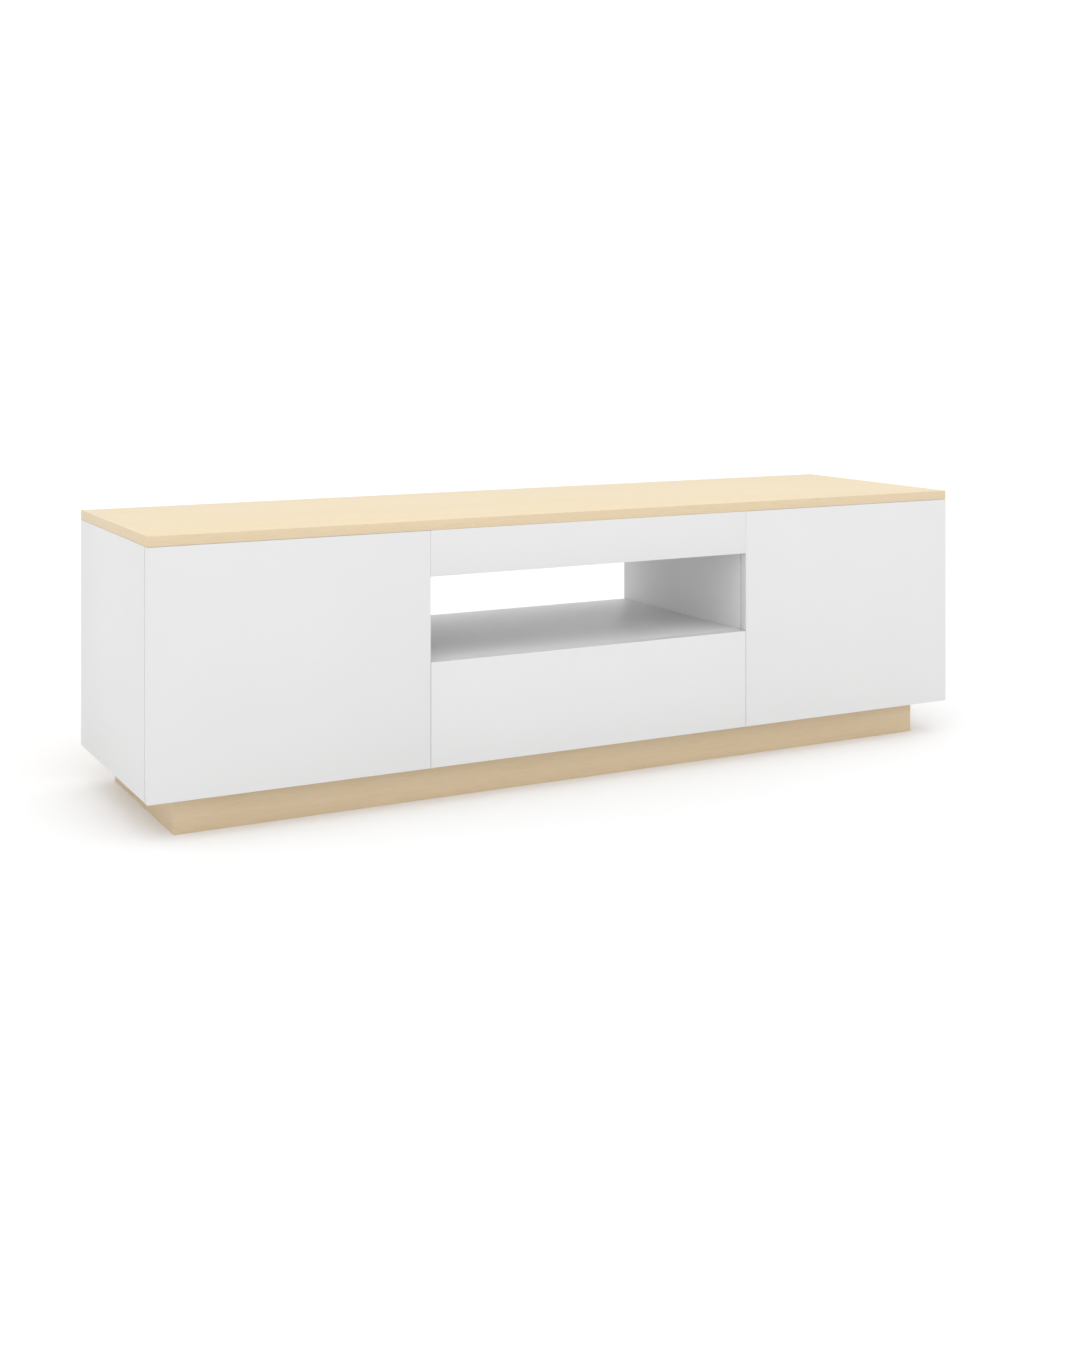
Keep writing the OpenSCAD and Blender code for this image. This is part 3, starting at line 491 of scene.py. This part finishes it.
def carcass_boards():
    for side in ("left", "right"):
        panel = {"-y": band_white, "+y": core, "+z": core, "-z": band_white}
        upright = {"-y": band_white, "+y": core, "+z": core, "-z": core}
        shelf = {"-y": band_white, "+y": core, "-x": core, "+x": core}
        white_board(f"{side}_side_board", f"{side}_side_panel", "root", panel, UPRIGHT_EDGE)
        inner_board_painted_light(f"{side}_partition_board", f"{side}_partition", upright, UPRIGHT_EDGE)
        inner_board_painted_light(f"{side}_shelf_board", f"{side}_shelf", shelf)
    flat = {"-y": band_white, "+y": core, "-x": core, "+x": core}
    inner_board_painted_light("bottom_board", "bottom_panel", flat)
    inner_board_painted_light("niche_shelf_board", "niche_shelf", flat)
    rail = {"-x": band_white, "+x": band_white, "-z": band_white, "+z": core}
    white_board("niche_rail_board", "niche_rail", "root", rail, FINE_EDGE)
    inner_board_painted_light("front_stretcher_board", "front_stretcher", rail)
    inner_board_painted_light("rear_stretcher_board", "rear_stretcher", rail)


def back_boards():
    for node in ("left_back_panel", "right_back_panel", "drawer_bay_back"):
        board(f"{node}_board", node, "root", {"-y": inside_white},
              hardboard, hardboard, FINE_EDGE)


# The plinth boards take the darker oak, which paints the shade under the carcass.
def plinth_boards():
    long_faces = {"-x": plinth_side_painted_shade, "+x": plinth_side_painted_shade, "+z": core}
    end_faces = {"+z": core, "-y": core, "+y": core}
    for node in ("plinth_front", "plinth_rear"):
        board(f"{node}_board", node, "root", long_faces, plinth_face_painted_shade, core)
    for node in ("plinth_left_end", "plinth_right_end", "plinth_left_cross", "plinth_right_cross"):
        board(f"{node}_board", node, "root", end_faces, plinth_side_painted_shade, core)


def doors_and_drawer():
    banded = {s: band_white for s in ("-x", "+x", "-z", "+z")}
    for side in ("left", "right"):
        white_board(f"{side}_door_board", f"{side}_door", f"{side}_door", banded, FINE_EDGE)
        side_faces = {"-y": core, "+y": band_white, "+z": band_white, "-z": band_white}
        white_board(f"drawer_{side}_side_board", f"drawer_{side}_side", "drawer", side_faces)
    white_board("drawer_front_board", "drawer_front", "drawer", banded, UPRIGHT_EDGE)
    back_faces = {"-x": core, "+x": core, "+z": band_white, "-z": band_white}
    white_board("drawer_back_board", "drawer_back", "drawer", back_faces)
    board("drawer_bottom_board", "drawer_bottom", "drawer", {"+z": inside_white},
          hardboard, hardboard, FINE_EDGE)


# ---------------------------------------------------------------- pressed and moulded fittings

ARM_EDGE = 0.00025
CUP_EDGE = 0.0001
FITTING_EDGE = 0.0002
BRACKET_EDGE = 0.0003


def ease_sharp(bm, edge):
    sharp = [e for e in bm.edges if len(e.link_faces) == 2 and e.calc_face_angle(0.0) > SHARP_ABOVE]
    bmesh.ops.bevel(bm, geom=sharp, offset=edge, segments=1, profile=0.5, affect="EDGES",
                    clamp_overlap=True)


def eased(name, node, body, finish, edge=FITTING_EDGE):
    """A fitting with every sharp edge of its CAD shape cut back a little."""
    bm = merged_copy(node)
    ease_sharp(bm, edge)
    finished(name, bm, [finish], body, [node])


def fittings():
    for side in ("left", "right"):
        door = f"{side}_door"
        plunger = f"{side}_latch_plunger"
        eased(f"{side}_hinge_arm_set", f"{side}_hinge_arms", "root", zinc_y, ARM_EDGE)
        eased(f"{side}_hinge_cup_set", f"{side}_hinge_cups", door, zinc_x, CUP_EDGE)
        eased(f"{side}_hinge_pin_set", f"{side}_hinge_pins", door, zinc_x)
        eased(f"{side}_outer_slide", f"{side}_slide_outer", "root", zinc_y)
        eased(f"{side}_inner_slide", f"{side}_slide_inner", "drawer", zinc_y)
        eased(f"{side}_plunger", plunger, plunger, acetal)
    eased("drawer_plunger", "drawer_latch_plunger", "drawer_latch_plunger", acetal)
    eased("hinge_plate_set", "hinge_plates", "root", casting)
    eased("bracket_set", "plinth_brackets", "root", zinc_x, BRACKET_EDGE)
    eased("latch_housing_set", "latch_housings", "root", acetal)


# ---------------------------------------------------------------- where the fasteners go

LENGTH_DIGITS = 5
WIDER_THAN_SHANK = 1.05


def solids_of(node):
    """The separate solids of a CAD node, each as the list of its points."""
    bm = bmesh.new()
    bm.from_mesh(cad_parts[node].data)
    bmesh.ops.remove_doubles(bm, verts=bm.verts, dist=MERGE)
    seen = set()
    solids = []
    for start in bm.verts:
        if start in seen:
            continue
        seen.add(start)
        waiting = [start]
        points = []
        while waiting:
            vertex = waiting.pop()
            points.append(vertex.co.copy())
            for edge in vertex.link_edges:
                other = edge.other_vert(vertex)
                if other not in seen:
                    seen.add(other)
                    waiting.append(other)
        solids.append(points)
    bm.free()
    return solids


def corners(points):
    low = Vector(tuple(min(p[a] for p in points) for a in range(3)))
    high = Vector(tuple(max(p[a] for p in points) for a in range(3)))
    return low, high


def turned_solid(points, disc):
    """Where a turned solid sits: the middle of its head, the way the head faces, the way a side
    mouth opens, and its sizes, with every length rounded to a hundredth of a millimetre. The sizes
    are the head's outer and base radius, its height, the shank's radius and the whole length."""
    low, high = corners(points)
    spans = list(high - low)
    axis = spans.index(min(spans)) if disc else spans.index(max(spans))
    centre = (low + high) / 2

    def radius(point):
        off = point - centre
        off[axis] = 0.0
        return round(off.length, LENGTH_DIGITS)

    ends = []
    for value, sign in ((low[axis], -1.0), (high[axis], 1.0)):
        at_end = [p for p in points if abs(p[axis] - value) < ON_PLANE]
        ends.append((max(radius(p) for p in at_end), len(at_end), sign, value))
    head_radius, _, sign, value = max(ends)
    shank_radius = min(ends)[0]
    rings = {}
    for point in points:
        depth = round(abs(point[axis] - value), LENGTH_DIGITS)
        rings[depth] = max(rings.get(depth, 0.0), radius(point))
    wide = [d for d, r in rings.items() if r > shank_radius * WIDER_THAN_SHANK]
    straight = max(wide, default=0.0) > 0.0
    steps = sorted(d for d, r in rings.items() if d > 0.0 and abs(r - shank_radius) < ON_PLANE)
    head = centre.copy()
    head[axis] = value
    facing = Vector((0.0, 0.0, 0.0))
    facing[axis] = sign
    middle = sum(points, Vector()) / len(points) - centre
    middle[axis] = 0.0
    across = max(range(3), key=lambda a: abs(middle[a]))
    mouth = Vector((0.0, 0.0, 0.0))
    mouth[across] = 1.0 if middle[across] > 0.0 else -1.0
    sizes = (
        head_radius,
        head_radius if straight else shank_radius,
        max(wide) if straight else steps[0],
        shank_radius,
        round(spans[axis], LENGTH_DIGITS),
    )
    return head, facing, mouth, sizes


def sorted_by_size(node, disc=False):
    """The fasteners of a node as {sizes: [(head, facing, mouth), ...]}."""
    groups = {}
    for points in solids_of(node):
        head, facing, mouth, sizes = turned_solid(points, disc)
        groups.setdefault(sizes, []).append((head, facing, mouth))
    return groups


# ---------------------------------------------------------------- fastener shapes in nodes

COUNTS = ("Facets", "Flutes", "Balls")
HEAD_BANDS = 4
CAM_BANDS = 6
RIM_POWER = 4.0
TIP_SHARE = 0.35
THREAD_STEPS = 12
THREAD_SIDES = 4
MOUTH_FACETS = 20
MOUTH_REACH = 1.5
MOUTH_START = -0.4
DOWEL_FACETS = 24
BALL_RINGS = 8


def new_shape(name, sizes):
    """A Geometry Nodes tree that takes points, one named length or count for each size, and a
    material. Returns the tree and its input node."""
    tree = bpy.data.node_groups.new(name, "GeometryNodeTree")
    face = tree.interface
    face.new_socket("Places", in_out="INPUT", socket_type="NodeSocketGeometry")
    for label in sizes:
        kind = "NodeSocketInt" if label in COUNTS else "NodeSocketFloat"
        face.new_socket(label, in_out="INPUT", socket_type=kind)
    face.new_socket("Finish", in_out="INPUT", socket_type="NodeSocketMaterial")
    face.new_socket("Shape", in_out="OUTPUT", socket_type="NodeSocketGeometry")
    return tree, tree.nodes.new("NodeGroupInput")


def put(tree, kind, setup=None, **inputs):
    """A node with its inputs linked or set by name; spaces are written as underscores."""
    made = tree.nodes.new(kind)
    for key, value in (setup or {}).items():
        setattr(made, key, value)
    for key, value in inputs.items():
        socket = made.inputs[key.replace("_", " ")]
        for one in value if isinstance(value, list) else [value]:
            if isinstance(one, bpy.types.NodeSocket):
                tree.links.new(one, socket)
            else:
                socket.default_value = one
    return made


def calc(tree, operation, a, b):
    made = put(tree, "ShaderNodeMath", {"operation": operation})
    for socket, value in ((made.inputs[0], a), (made.inputs[1], b)):
        if isinstance(value, bpy.types.NodeSocket):
            tree.links.new(value, socket)
        else:
            socket.default_value = value
    return made.outputs[0]


def vector(tree, x=0.0, y=0.0, z=0.0):
    return put(tree, "ShaderNodeCombineXYZ", X=x, Y=y, Z=z).outputs[0]


def moved(tree, shape, z):
    return put(tree, "GeometryNodeTransform", Geometry=shape,
               Translation=vector(tree, z=z)).outputs[0]


def turned(tree, facets, top, bottom, depth, base, bands=1):
    """A cone or cylinder from height base upwards."""
    cone = put(tree, "GeometryNodeMeshCone", Vertices=facets, Side_Segments=bands,
               Radius_Top=top, Radius_Bottom=bottom, Depth=depth)
    return moved(tree, cone.outputs["Mesh"], base)


def rounded_rim(tree, shape, depth, rounding):
    """Draws the upper end of a head inwards, more steeply towards the top."""
    position = put(tree, "GeometryNodeInputPosition").outputs[0]
    height = put(tree, "ShaderNodeSeparateXYZ", Vector=position).outputs["Z"]
    share = calc(tree, "ADD", calc(tree, "DIVIDE", height, depth), 1.0)
    pull = calc(tree, "MULTIPLY", calc(tree, "POWER", share, RIM_POWER), rounding)
    scale = calc(tree, "SUBTRACT", 1.0, pull)
    drawn = put(tree, "ShaderNodeVectorMath", {"operation": "MULTIPLY"})
    tree.links.new(position, drawn.inputs[0])
    tree.links.new(vector(tree, x=scale, y=scale, z=1.0), drawn.inputs[1])
    return put(tree, "GeometryNodeSetPosition", Geometry=shape, Position=drawn.outputs[0]).outputs[0]


def cross_cut(tree, shape, length, width, depth):
    """Cuts a cross recess into the top of a head."""
    tall = calc(tree, "MULTIPLY", depth, 2.0)
    bars = [
        put(tree, "GeometryNodeMeshCube", Size=vector(tree, x=a, y=b, z=tall)).outputs["Mesh"]
        for a, b in ((length, width), (width, length))
    ]
    cut = put(tree, "GeometryNodeMeshBoolean", {"operation": "DIFFERENCE", "solver": "EXACT"},
              Mesh_1=shape, Mesh_2=bars)
    return cut.outputs["Mesh"]


def placed(tree, given, shape):
    """One copy of the shape at each point, its head facing out and its mouth turned round."""
    facing = put(tree, "GeometryNodeInputNamedAttribute", {"data_type": "FLOAT_VECTOR"},
                 Name="facing").outputs["Attribute"]
    mouth = put(tree, "GeometryNodeInputNamedAttribute", {"data_type": "FLOAT_VECTOR"},
                Name="mouth").outputs["Attribute"]
    upright = put(tree, "FunctionNodeAlignRotationToVector", {"axis": "Z"}, Vector=facing)
    turned_round = put(tree, "FunctionNodeAlignRotationToVector", {"axis": "X", "pivot_axis": "Z"},
                       Rotation=upright.outputs[0], Vector=mouth)
    copies = put(tree, "GeometryNodeInstanceOnPoints", Points=given.outputs["Places"],
                 Instance=shape, Rotation=turned_round.outputs[0])
    real = put(tree, "GeometryNodeRealizeInstances", Geometry=copies.outputs["Instances"])
    painted = put(tree, "GeometryNodeSetMaterial", Geometry=real.outputs[0],
                  Material=given.outputs["Finish"])
    out = tree.nodes.new("NodeGroupOutput")
    tree.links.new(painted.outputs[0], out.inputs["Shape"])
    return tree


def joined(tree, parts):
    return put(tree, "GeometryNodeJoinGeometry", Geometry=parts).outputs[0]


def thread(tree, radius, top, bottom, pitch, depth):
    """A raised spiral round a shank, from height bottom to height top."""
    run = calc(tree, "SUBTRACT", top, bottom)
    turns = calc(tree, "DIVIDE", run, pitch)
    path = put(tree, "GeometryNodeCurveSpiral", Resolution=THREAD_STEPS, Rotations=turns,
               Start_Radius=radius, End_Radius=radius, Height=run)
    ridge = put(tree, "GeometryNodeCurvePrimitiveCircle", Resolution=THREAD_SIDES, Radius=depth)
    swept = put(tree, "GeometryNodeCurveToMesh", Curve=path.outputs[0],
                Profile_Curve=ridge.outputs[0], Fill_Caps=True)
    return moved(tree, swept.outputs[0], bottom)


def headed_shape(name, recess, threaded):
    """A nail, pin or screw that hangs below its point, with its head upwards."""
    sizes = ["Head Radius", "Head Base Radius", "Head Height", "Shank Radius", "Length",
             "Rounding", "Tip Length", "Facets"]
    sizes += ["Recess Length", "Recess Width", "Recess Depth"] if recess else []
    sizes += ["Thread Top", "Thread Pitch", "Thread Depth"] if threaded else []
    tree, given = new_shape(name, sizes)
    size = given.outputs
    facets = size["Facets"]
    head_floor = calc(tree, "MULTIPLY", size["Head Height"], -1.0)
    head = turned(tree, facets, size["Head Radius"], size["Head Base Radius"],
                  size["Head Height"], head_floor, bands=HEAD_BANDS)
    head = rounded_rim(tree, head, size["Head Height"], size["Rounding"])
    if recess:
        head = cross_cut(tree, head, size["Recess Length"], size["Recess Width"],
                         size["Recess Depth"])
    end = calc(tree, "MULTIPLY", size["Length"], -1.0)
    tip_top = calc(tree, "ADD", end, size["Tip Length"])
    core_radius = size["Shank Radius"]
    if threaded:
        core_radius = calc(tree, "SUBTRACT", size["Shank Radius"], size["Thread Depth"])
    shank = turned(tree, facets, core_radius, core_radius,
                   calc(tree, "SUBTRACT", head_floor, tip_top), tip_top)
    tip_radius = calc(tree, "MULTIPLY", core_radius, TIP_SHARE)
    tip = turned(tree, facets, core_radius, tip_radius, size["Tip Length"], end)
    parts = [head, shank, tip]
    if threaded:
        top = calc(tree, "MULTIPLY", size["Thread Top"], -1.0)
        parts.append(thread(tree, core_radius, top, tip_top, size["Thread Pitch"],
                            size["Thread Depth"]))
    return placed(tree, given, joined(tree, parts))


def cam_shape(name):
    """A cam lock: a disc with a cross recess in its face and a mouth in its side for the bolt."""
    tree, given = new_shape(name, ["Head Radius", "Length", "Rounding", "Facets", "Recess Length",
                                   "Recess Width", "Recess Depth", "Mouth Radius", "Mouth Depth"])
    size = given.outputs
    body = turned(tree, size["Facets"], size["Head Radius"], size["Head Radius"], size["Length"],
                  calc(tree, "MULTIPLY", size["Length"], -1.0), bands=CAM_BANDS)
    body = rounded_rim(tree, body, size["Length"], size["Rounding"])
    body = cross_cut(tree, body, size["Recess Length"], size["Recess Width"], size["Recess Depth"])
    reach = calc(tree, "MULTIPLY", size["Head Radius"], MOUTH_REACH)
    bore = put(tree, "GeometryNodeMeshCone", Vertices=MOUTH_FACETS, Radius_Top=size["Mouth Radius"],
               Radius_Bottom=size["Mouth Radius"], Depth=reach)
    quarter = put(tree, "FunctionNodeEulerToRotation", Euler=(0.0, math.radians(90.0), 0.0))
    start = calc(tree, "MULTIPLY", size["Head Radius"], MOUTH_START)
    depth = calc(tree, "MULTIPLY", size["Mouth Depth"], -1.0)
    laid = put(tree, "GeometryNodeTransform", Geometry=bore.outputs["Mesh"],
               Translation=vector(tree, x=start, z=depth), Rotation=quarter.outputs[0])
    cut = put(tree, "GeometryNodeMeshBoolean", {"operation": "DIFFERENCE", "solver": "EXACT"},
              Mesh_1=body, Mesh_2=[laid.outputs[0]])
    return placed(tree, given, cut.outputs["Mesh"])


def dowel_shape(name):
    """A fluted wood dowel with chamfered ends."""
    tree, given = new_shape(name, ["Head Radius", "Length", "Chamfer", "Flutes", "Flute Depth"])
    size = given.outputs
    groove = calc(tree, "SUBTRACT", size["Head Radius"], size["Flute Depth"])
    star = put(tree, "GeometryNodeCurveStar", Points=size["Flutes"], Inner_Radius=groove,
               Outer_Radius=size["Head Radius"])
    end = calc(tree, "MULTIPLY", size["Length"], -1.0)
    top = calc(tree, "MULTIPLY", size["Chamfer"], -1.0)
    foot = calc(tree, "ADD", end, size["Chamfer"])
    line = put(tree, "GeometryNodeCurvePrimitiveLine", Start=vector(tree, z=foot),
               End=vector(tree, z=top))
    shaft = put(tree, "GeometryNodeCurveToMesh", Curve=line.outputs[0],
                Profile_Curve=star.outputs["Curve"], Fill_Caps=True)
    small = calc(tree, "SUBTRACT", groove, size["Chamfer"])
    caps = [
        turned(tree, DOWEL_FACETS, small, groove, size["Chamfer"], top),
        turned(tree, DOWEL_FACETS, groove, small, size["Chamfer"], end),
    ]
    return placed(tree, given, joined(tree, [shaft.outputs[0]] + caps))


def ball_row_shape(name):
    """A row of balls along X, the first at its point."""
    tree, given = new_shape(name, ["Balls", "Ball Radius", "Ball Spacing", "Facets"])
    size = given.outputs
    ball = put(tree, "GeometryNodeMeshUVSphere", Segments=size["Facets"], Rings=BALL_RINGS,
               Radius=size["Ball Radius"])
    line = put(tree, "GeometryNodeMeshLine", Count=size["Balls"],
               Offset=vector(tree, x=size["Ball Spacing"]))
    row = put(tree, "GeometryNodeInstanceOnPoints", Points=line.outputs[0],
              Instance=ball.outputs["Mesh"])
    return placed(tree, given, row.outputs["Instances"])


def grown(name, tree, places, sizes, finish):
    """Runs a shape's tree over its places and returns the plain mesh it makes."""
    points = bpy.data.meshes.new(f"{name}_places")
    points.from_pydata([tuple(head) for head, _, _ in places], [], [])
    for label, column in (("facing", 1), ("mouth", 2)):
        layer = points.attributes.new(label, "FLOAT_VECTOR", "POINT")
        for item, place in zip(layer.data, places):
            item.vector = place[column]
    holder = bpy.data.objects.new(f"{name}_places", points)
    bpy.context.collection.objects.link(holder)
    modifier = holder.modifiers.new("shape", "NODES")
    modifier.node_group = tree
    for item in tree.interface.items_tree:
        if item.in_out != "INPUT" or item.name == "Places":
            continue
        modifier[item.identifier] = finish if item.name == "Finish" else sizes[item.name]
    depsgraph = bpy.context.evaluated_depsgraph_get()
    mesh = bpy.data.meshes.new_from_object(holder.evaluated_get(depsgraph))
    holder.modifiers.clear()
    bpy.data.objects.remove(holder)
    return mesh


def as_piece(name, meshes, body, finish, nodes):
    """Joins the grown meshes of one body into one piece."""
    bm = bmesh.new()
    for mesh in meshes:
        bm.from_mesh(mesh)
    for face in bm.faces:
        face.material_index = 0
    return finished(name, bm, [finish], body, nodes)


# ---------------------------------------------------------------- fasteners

HEAD_FACETS = 28
RECESS_LENGTH = 1.2
RECESS_WIDTH = 0.24
RECESS_DEPTH = 0.55

CAM_FACETS = 36
CAM_ROUNDING = 0.05
CAM_RECESS_WIDTH = 0.0016
CAM_RECESS_DEPTH = 0.002
CAM_MOUTH_RADIUS = 0.004
CAM_MOUTH_SHARE = 0.62
BOLT_NECK = 0.026

DOWEL_CHAMFER = 0.0008
DOWEL_FLUTES = 16
FLUTE_DEPTH = 0.0004

BALL_SPACING = 0.024
BALL_FACETS = 16
CAGE_SHARE = 0.5


def headed_sizes(sizes, rounding, tip, extra):
    head_radius, base_radius, head_height, shank_radius, length = sizes
    named = {
        "Head Radius": head_radius, "Head Base Radius": base_radius, "Head Height": head_height,
        "Shank Radius": shank_radius, "Length": length, "Rounding": rounding, "Tip Length": tip,
        "Facets": HEAD_FACETS, "Recess Length": head_radius * RECESS_LENGTH,
        "Recess Width": head_radius * RECESS_WIDTH, "Recess Depth": head_height * RECESS_DEPTH,
        "Thread Top": head_height,
    }
    named.update(extra)
    return named


def headed_set(name, node, body, tree, finish, rounding, tip, **extra):
    """Every nail, pin or screw of a node. rounding is the share of its radius that the top of a head
    loses, tip the length of the tip, and extra what else its shape takes."""
    extra = {key.replace("_", " "): value for key, value in extra.items()}
    meshes = [
        grown(name, tree, places, headed_sizes(sizes, rounding, tip, extra), finish)
        for sizes, places in sorted_by_size(node).items()
    ]
    as_piece(name, meshes, body, finish, [node])


def cam_set(name, node, body, tree):
    meshes = []
    for (radius, _, _, _, length), places in sorted_by_size(node, disc=True).items():
        named = {
            "Head Radius": radius, "Length": length, "Rounding": CAM_ROUNDING,
            "Facets": CAM_FACETS, "Recess Length": radius * RECESS_LENGTH,
            "Recess Width": CAM_RECESS_WIDTH, "Recess Depth": CAM_RECESS_DEPTH,
            "Mouth Radius": CAM_MOUTH_RADIUS, "Mouth Depth": length * CAM_MOUTH_SHARE,
        }
        meshes.append(grown(name, tree, places, named, casting))
    as_piece(name, meshes, body, casting, [node])


def dowel_set(name, node, body, tree):
    meshes = []
    for (radius, _, _, _, length), places in sorted_by_size(node).items():
        named = {"Head Radius": radius, "Length": length, "Chamfer": DOWEL_CHAMFER,
                 "Flutes": DOWEL_FLUTES, "Flute Depth": FLUTE_DEPTH}
        meshes.append(grown(name, tree, places, named, beech_wood))
    as_piece(name, meshes, body, beech_wood, [node])


def inside(point, low, high):
    return all(low[a] - ON_PLANE < point[a] < high[a] + ON_PLANE for a in range(3))


def middle_slide(side, tree):
    """The middle member of a slide: its channel, and rows of balls in their cage strips."""
    node = f"{side}_slide_middle"
    solids = sorted((corners(points) for points in solids_of(node)),
                    key=lambda box: (box[1] - box[0])[2])
    bm = merged_copy(node)
    strips = solids[:-1]
    loose = [v for v in bm.verts if any(inside(v.co, *box) for box in strips)]
    bmesh.ops.delete(bm, geom=loose, context="VERTS")
    ease_sharp(bm, FITTING_EDGE)
    rows = []
    ball_radius = 0.0
    for low, high in strips:
        centre = (low + high) / 2
        ball_radius = (high[2] - low[2]) / 2
        cage = bmesh.ops.create_cube(bm, size=1.0)["verts"]
        thick = Vector((high[0] - low[0], high[1] - low[1], ball_radius * CAGE_SHARE))
        for vertex in cage:
            vertex.co = Vector(tuple(vertex.co[a] * thick[a] for a in range(3))) + centre
        rows.append((Vector((centre[0], low[1] + BALL_SPACING / 2, centre[2])),
                     Vector((0.0, 0.0, 1.0)), Vector((0.0, 1.0, 0.0))))
    length = strips[0][1][1] - strips[0][0][1]
    named = {"Balls": round(length / BALL_SPACING), "Ball Radius": ball_radius,
             "Ball Spacing": BALL_SPACING, "Facets": BALL_FACETS}
    balls = grown(f"{side}_slide_balls", tree, rows, named, zinc_x)
    bm.from_mesh(balls)
    for face in bm.faces:
        face.material_index = 0
    finished(f"{side}_middle_slide", bm, [zinc_y], f"{side}_slide_middle", [node])


def fasteners():
    nail = headed_shape("domed_nail", recess=False, threaded=False)
    screw = headed_shape("cross_screw", recess=True, threaded=True)
    bolt = headed_shape("cam_bolt", recess=False, threaded=True)
    cam = cam_shape("cam_lock")
    dowel = dowel_shape("fluted_dowel")
    balls = ball_row_shape("ball_row")
    coarse = {"Thread_Pitch": 0.0018, "Thread_Depth": 0.0005}
    plate = {"Thread_Pitch": 0.0017, "Thread_Depth": 0.0005}
    slide = {"Thread_Pitch": 0.0016, "Thread_Depth": 0.0004}
    fine = {"Thread_Pitch": 0.0014, "Thread_Depth": 0.0004}
    necked = {"Thread_Top": BOLT_NECK, "Thread_Pitch": 0.0022, "Thread_Depth": 0.0005}
    headed_set("back_nail_set", "back_panel_nails", "root", nail, zinc_y, rounding=0.35, tip=0.0015)
    headed_set("shelf_pin_set", "shelf_pins", "root", nail, zinc_x, rounding=0.12, tip=0.0006)
    headed_set("rail_screw_set", "rail_screws", "root", screw, zinc_y,
               rounding=0.02, tip=0.004, **coarse)
    headed_set("bracket_screw_set", "plinth_screws", "root", screw, zinc_x,
               rounding=0.14, tip=0.002, **fine)
    headed_set("plate_screw_set", "hinge_plate_screws", "root", screw, zinc_x,
               rounding=0.10, tip=0.0012, **plate)
    headed_set("drawer_screw_set", "drawer_screws", "drawer", screw, zinc_x,
               rounding=0.02, tip=0.003, **coarse)
    headed_set("slide_screw_set", "slide_screws", "root", screw, zinc_x,
               rounding=0.02, tip=0.002, **slide)
    for side in ("left", "right"):
        headed_set(f"{side}_cup_screw_set", f"{side}_cup_screws", f"{side}_door", screw, zinc_x,
                   rounding=0.14, tip=0.002, **fine)
        middle_slide(side, balls)
    for name, node, body in (("cam_bolt_set", "cam_bolts", "root"),
                             ("drawer_cam_bolt_set", "drawer_cam_bolts", "drawer")):
        headed_set(name, node, body, bolt, zinc_y, rounding=0.12, tip=0.001, **necked)
    cam_set("cam_lock_set", "cam_locks", "root", cam)
    cam_set("drawer_cam_set", "drawer_cams", "drawer", cam)
    dowel_set("dowel_set", "wood_dowels", "root", dowel)


# ---------------------------------------------------------------- build

bpy.context.scene.view_settings.view_transform = "Standard"
bpy.context.scene.view_settings.look = "None"
set_camera()
set_world()
overhead_light()
studio_floor()
top_board()
carcass_boards()
back_boards()
plinth_boards()
doors_and_drawer()
fittings()
fasteners()
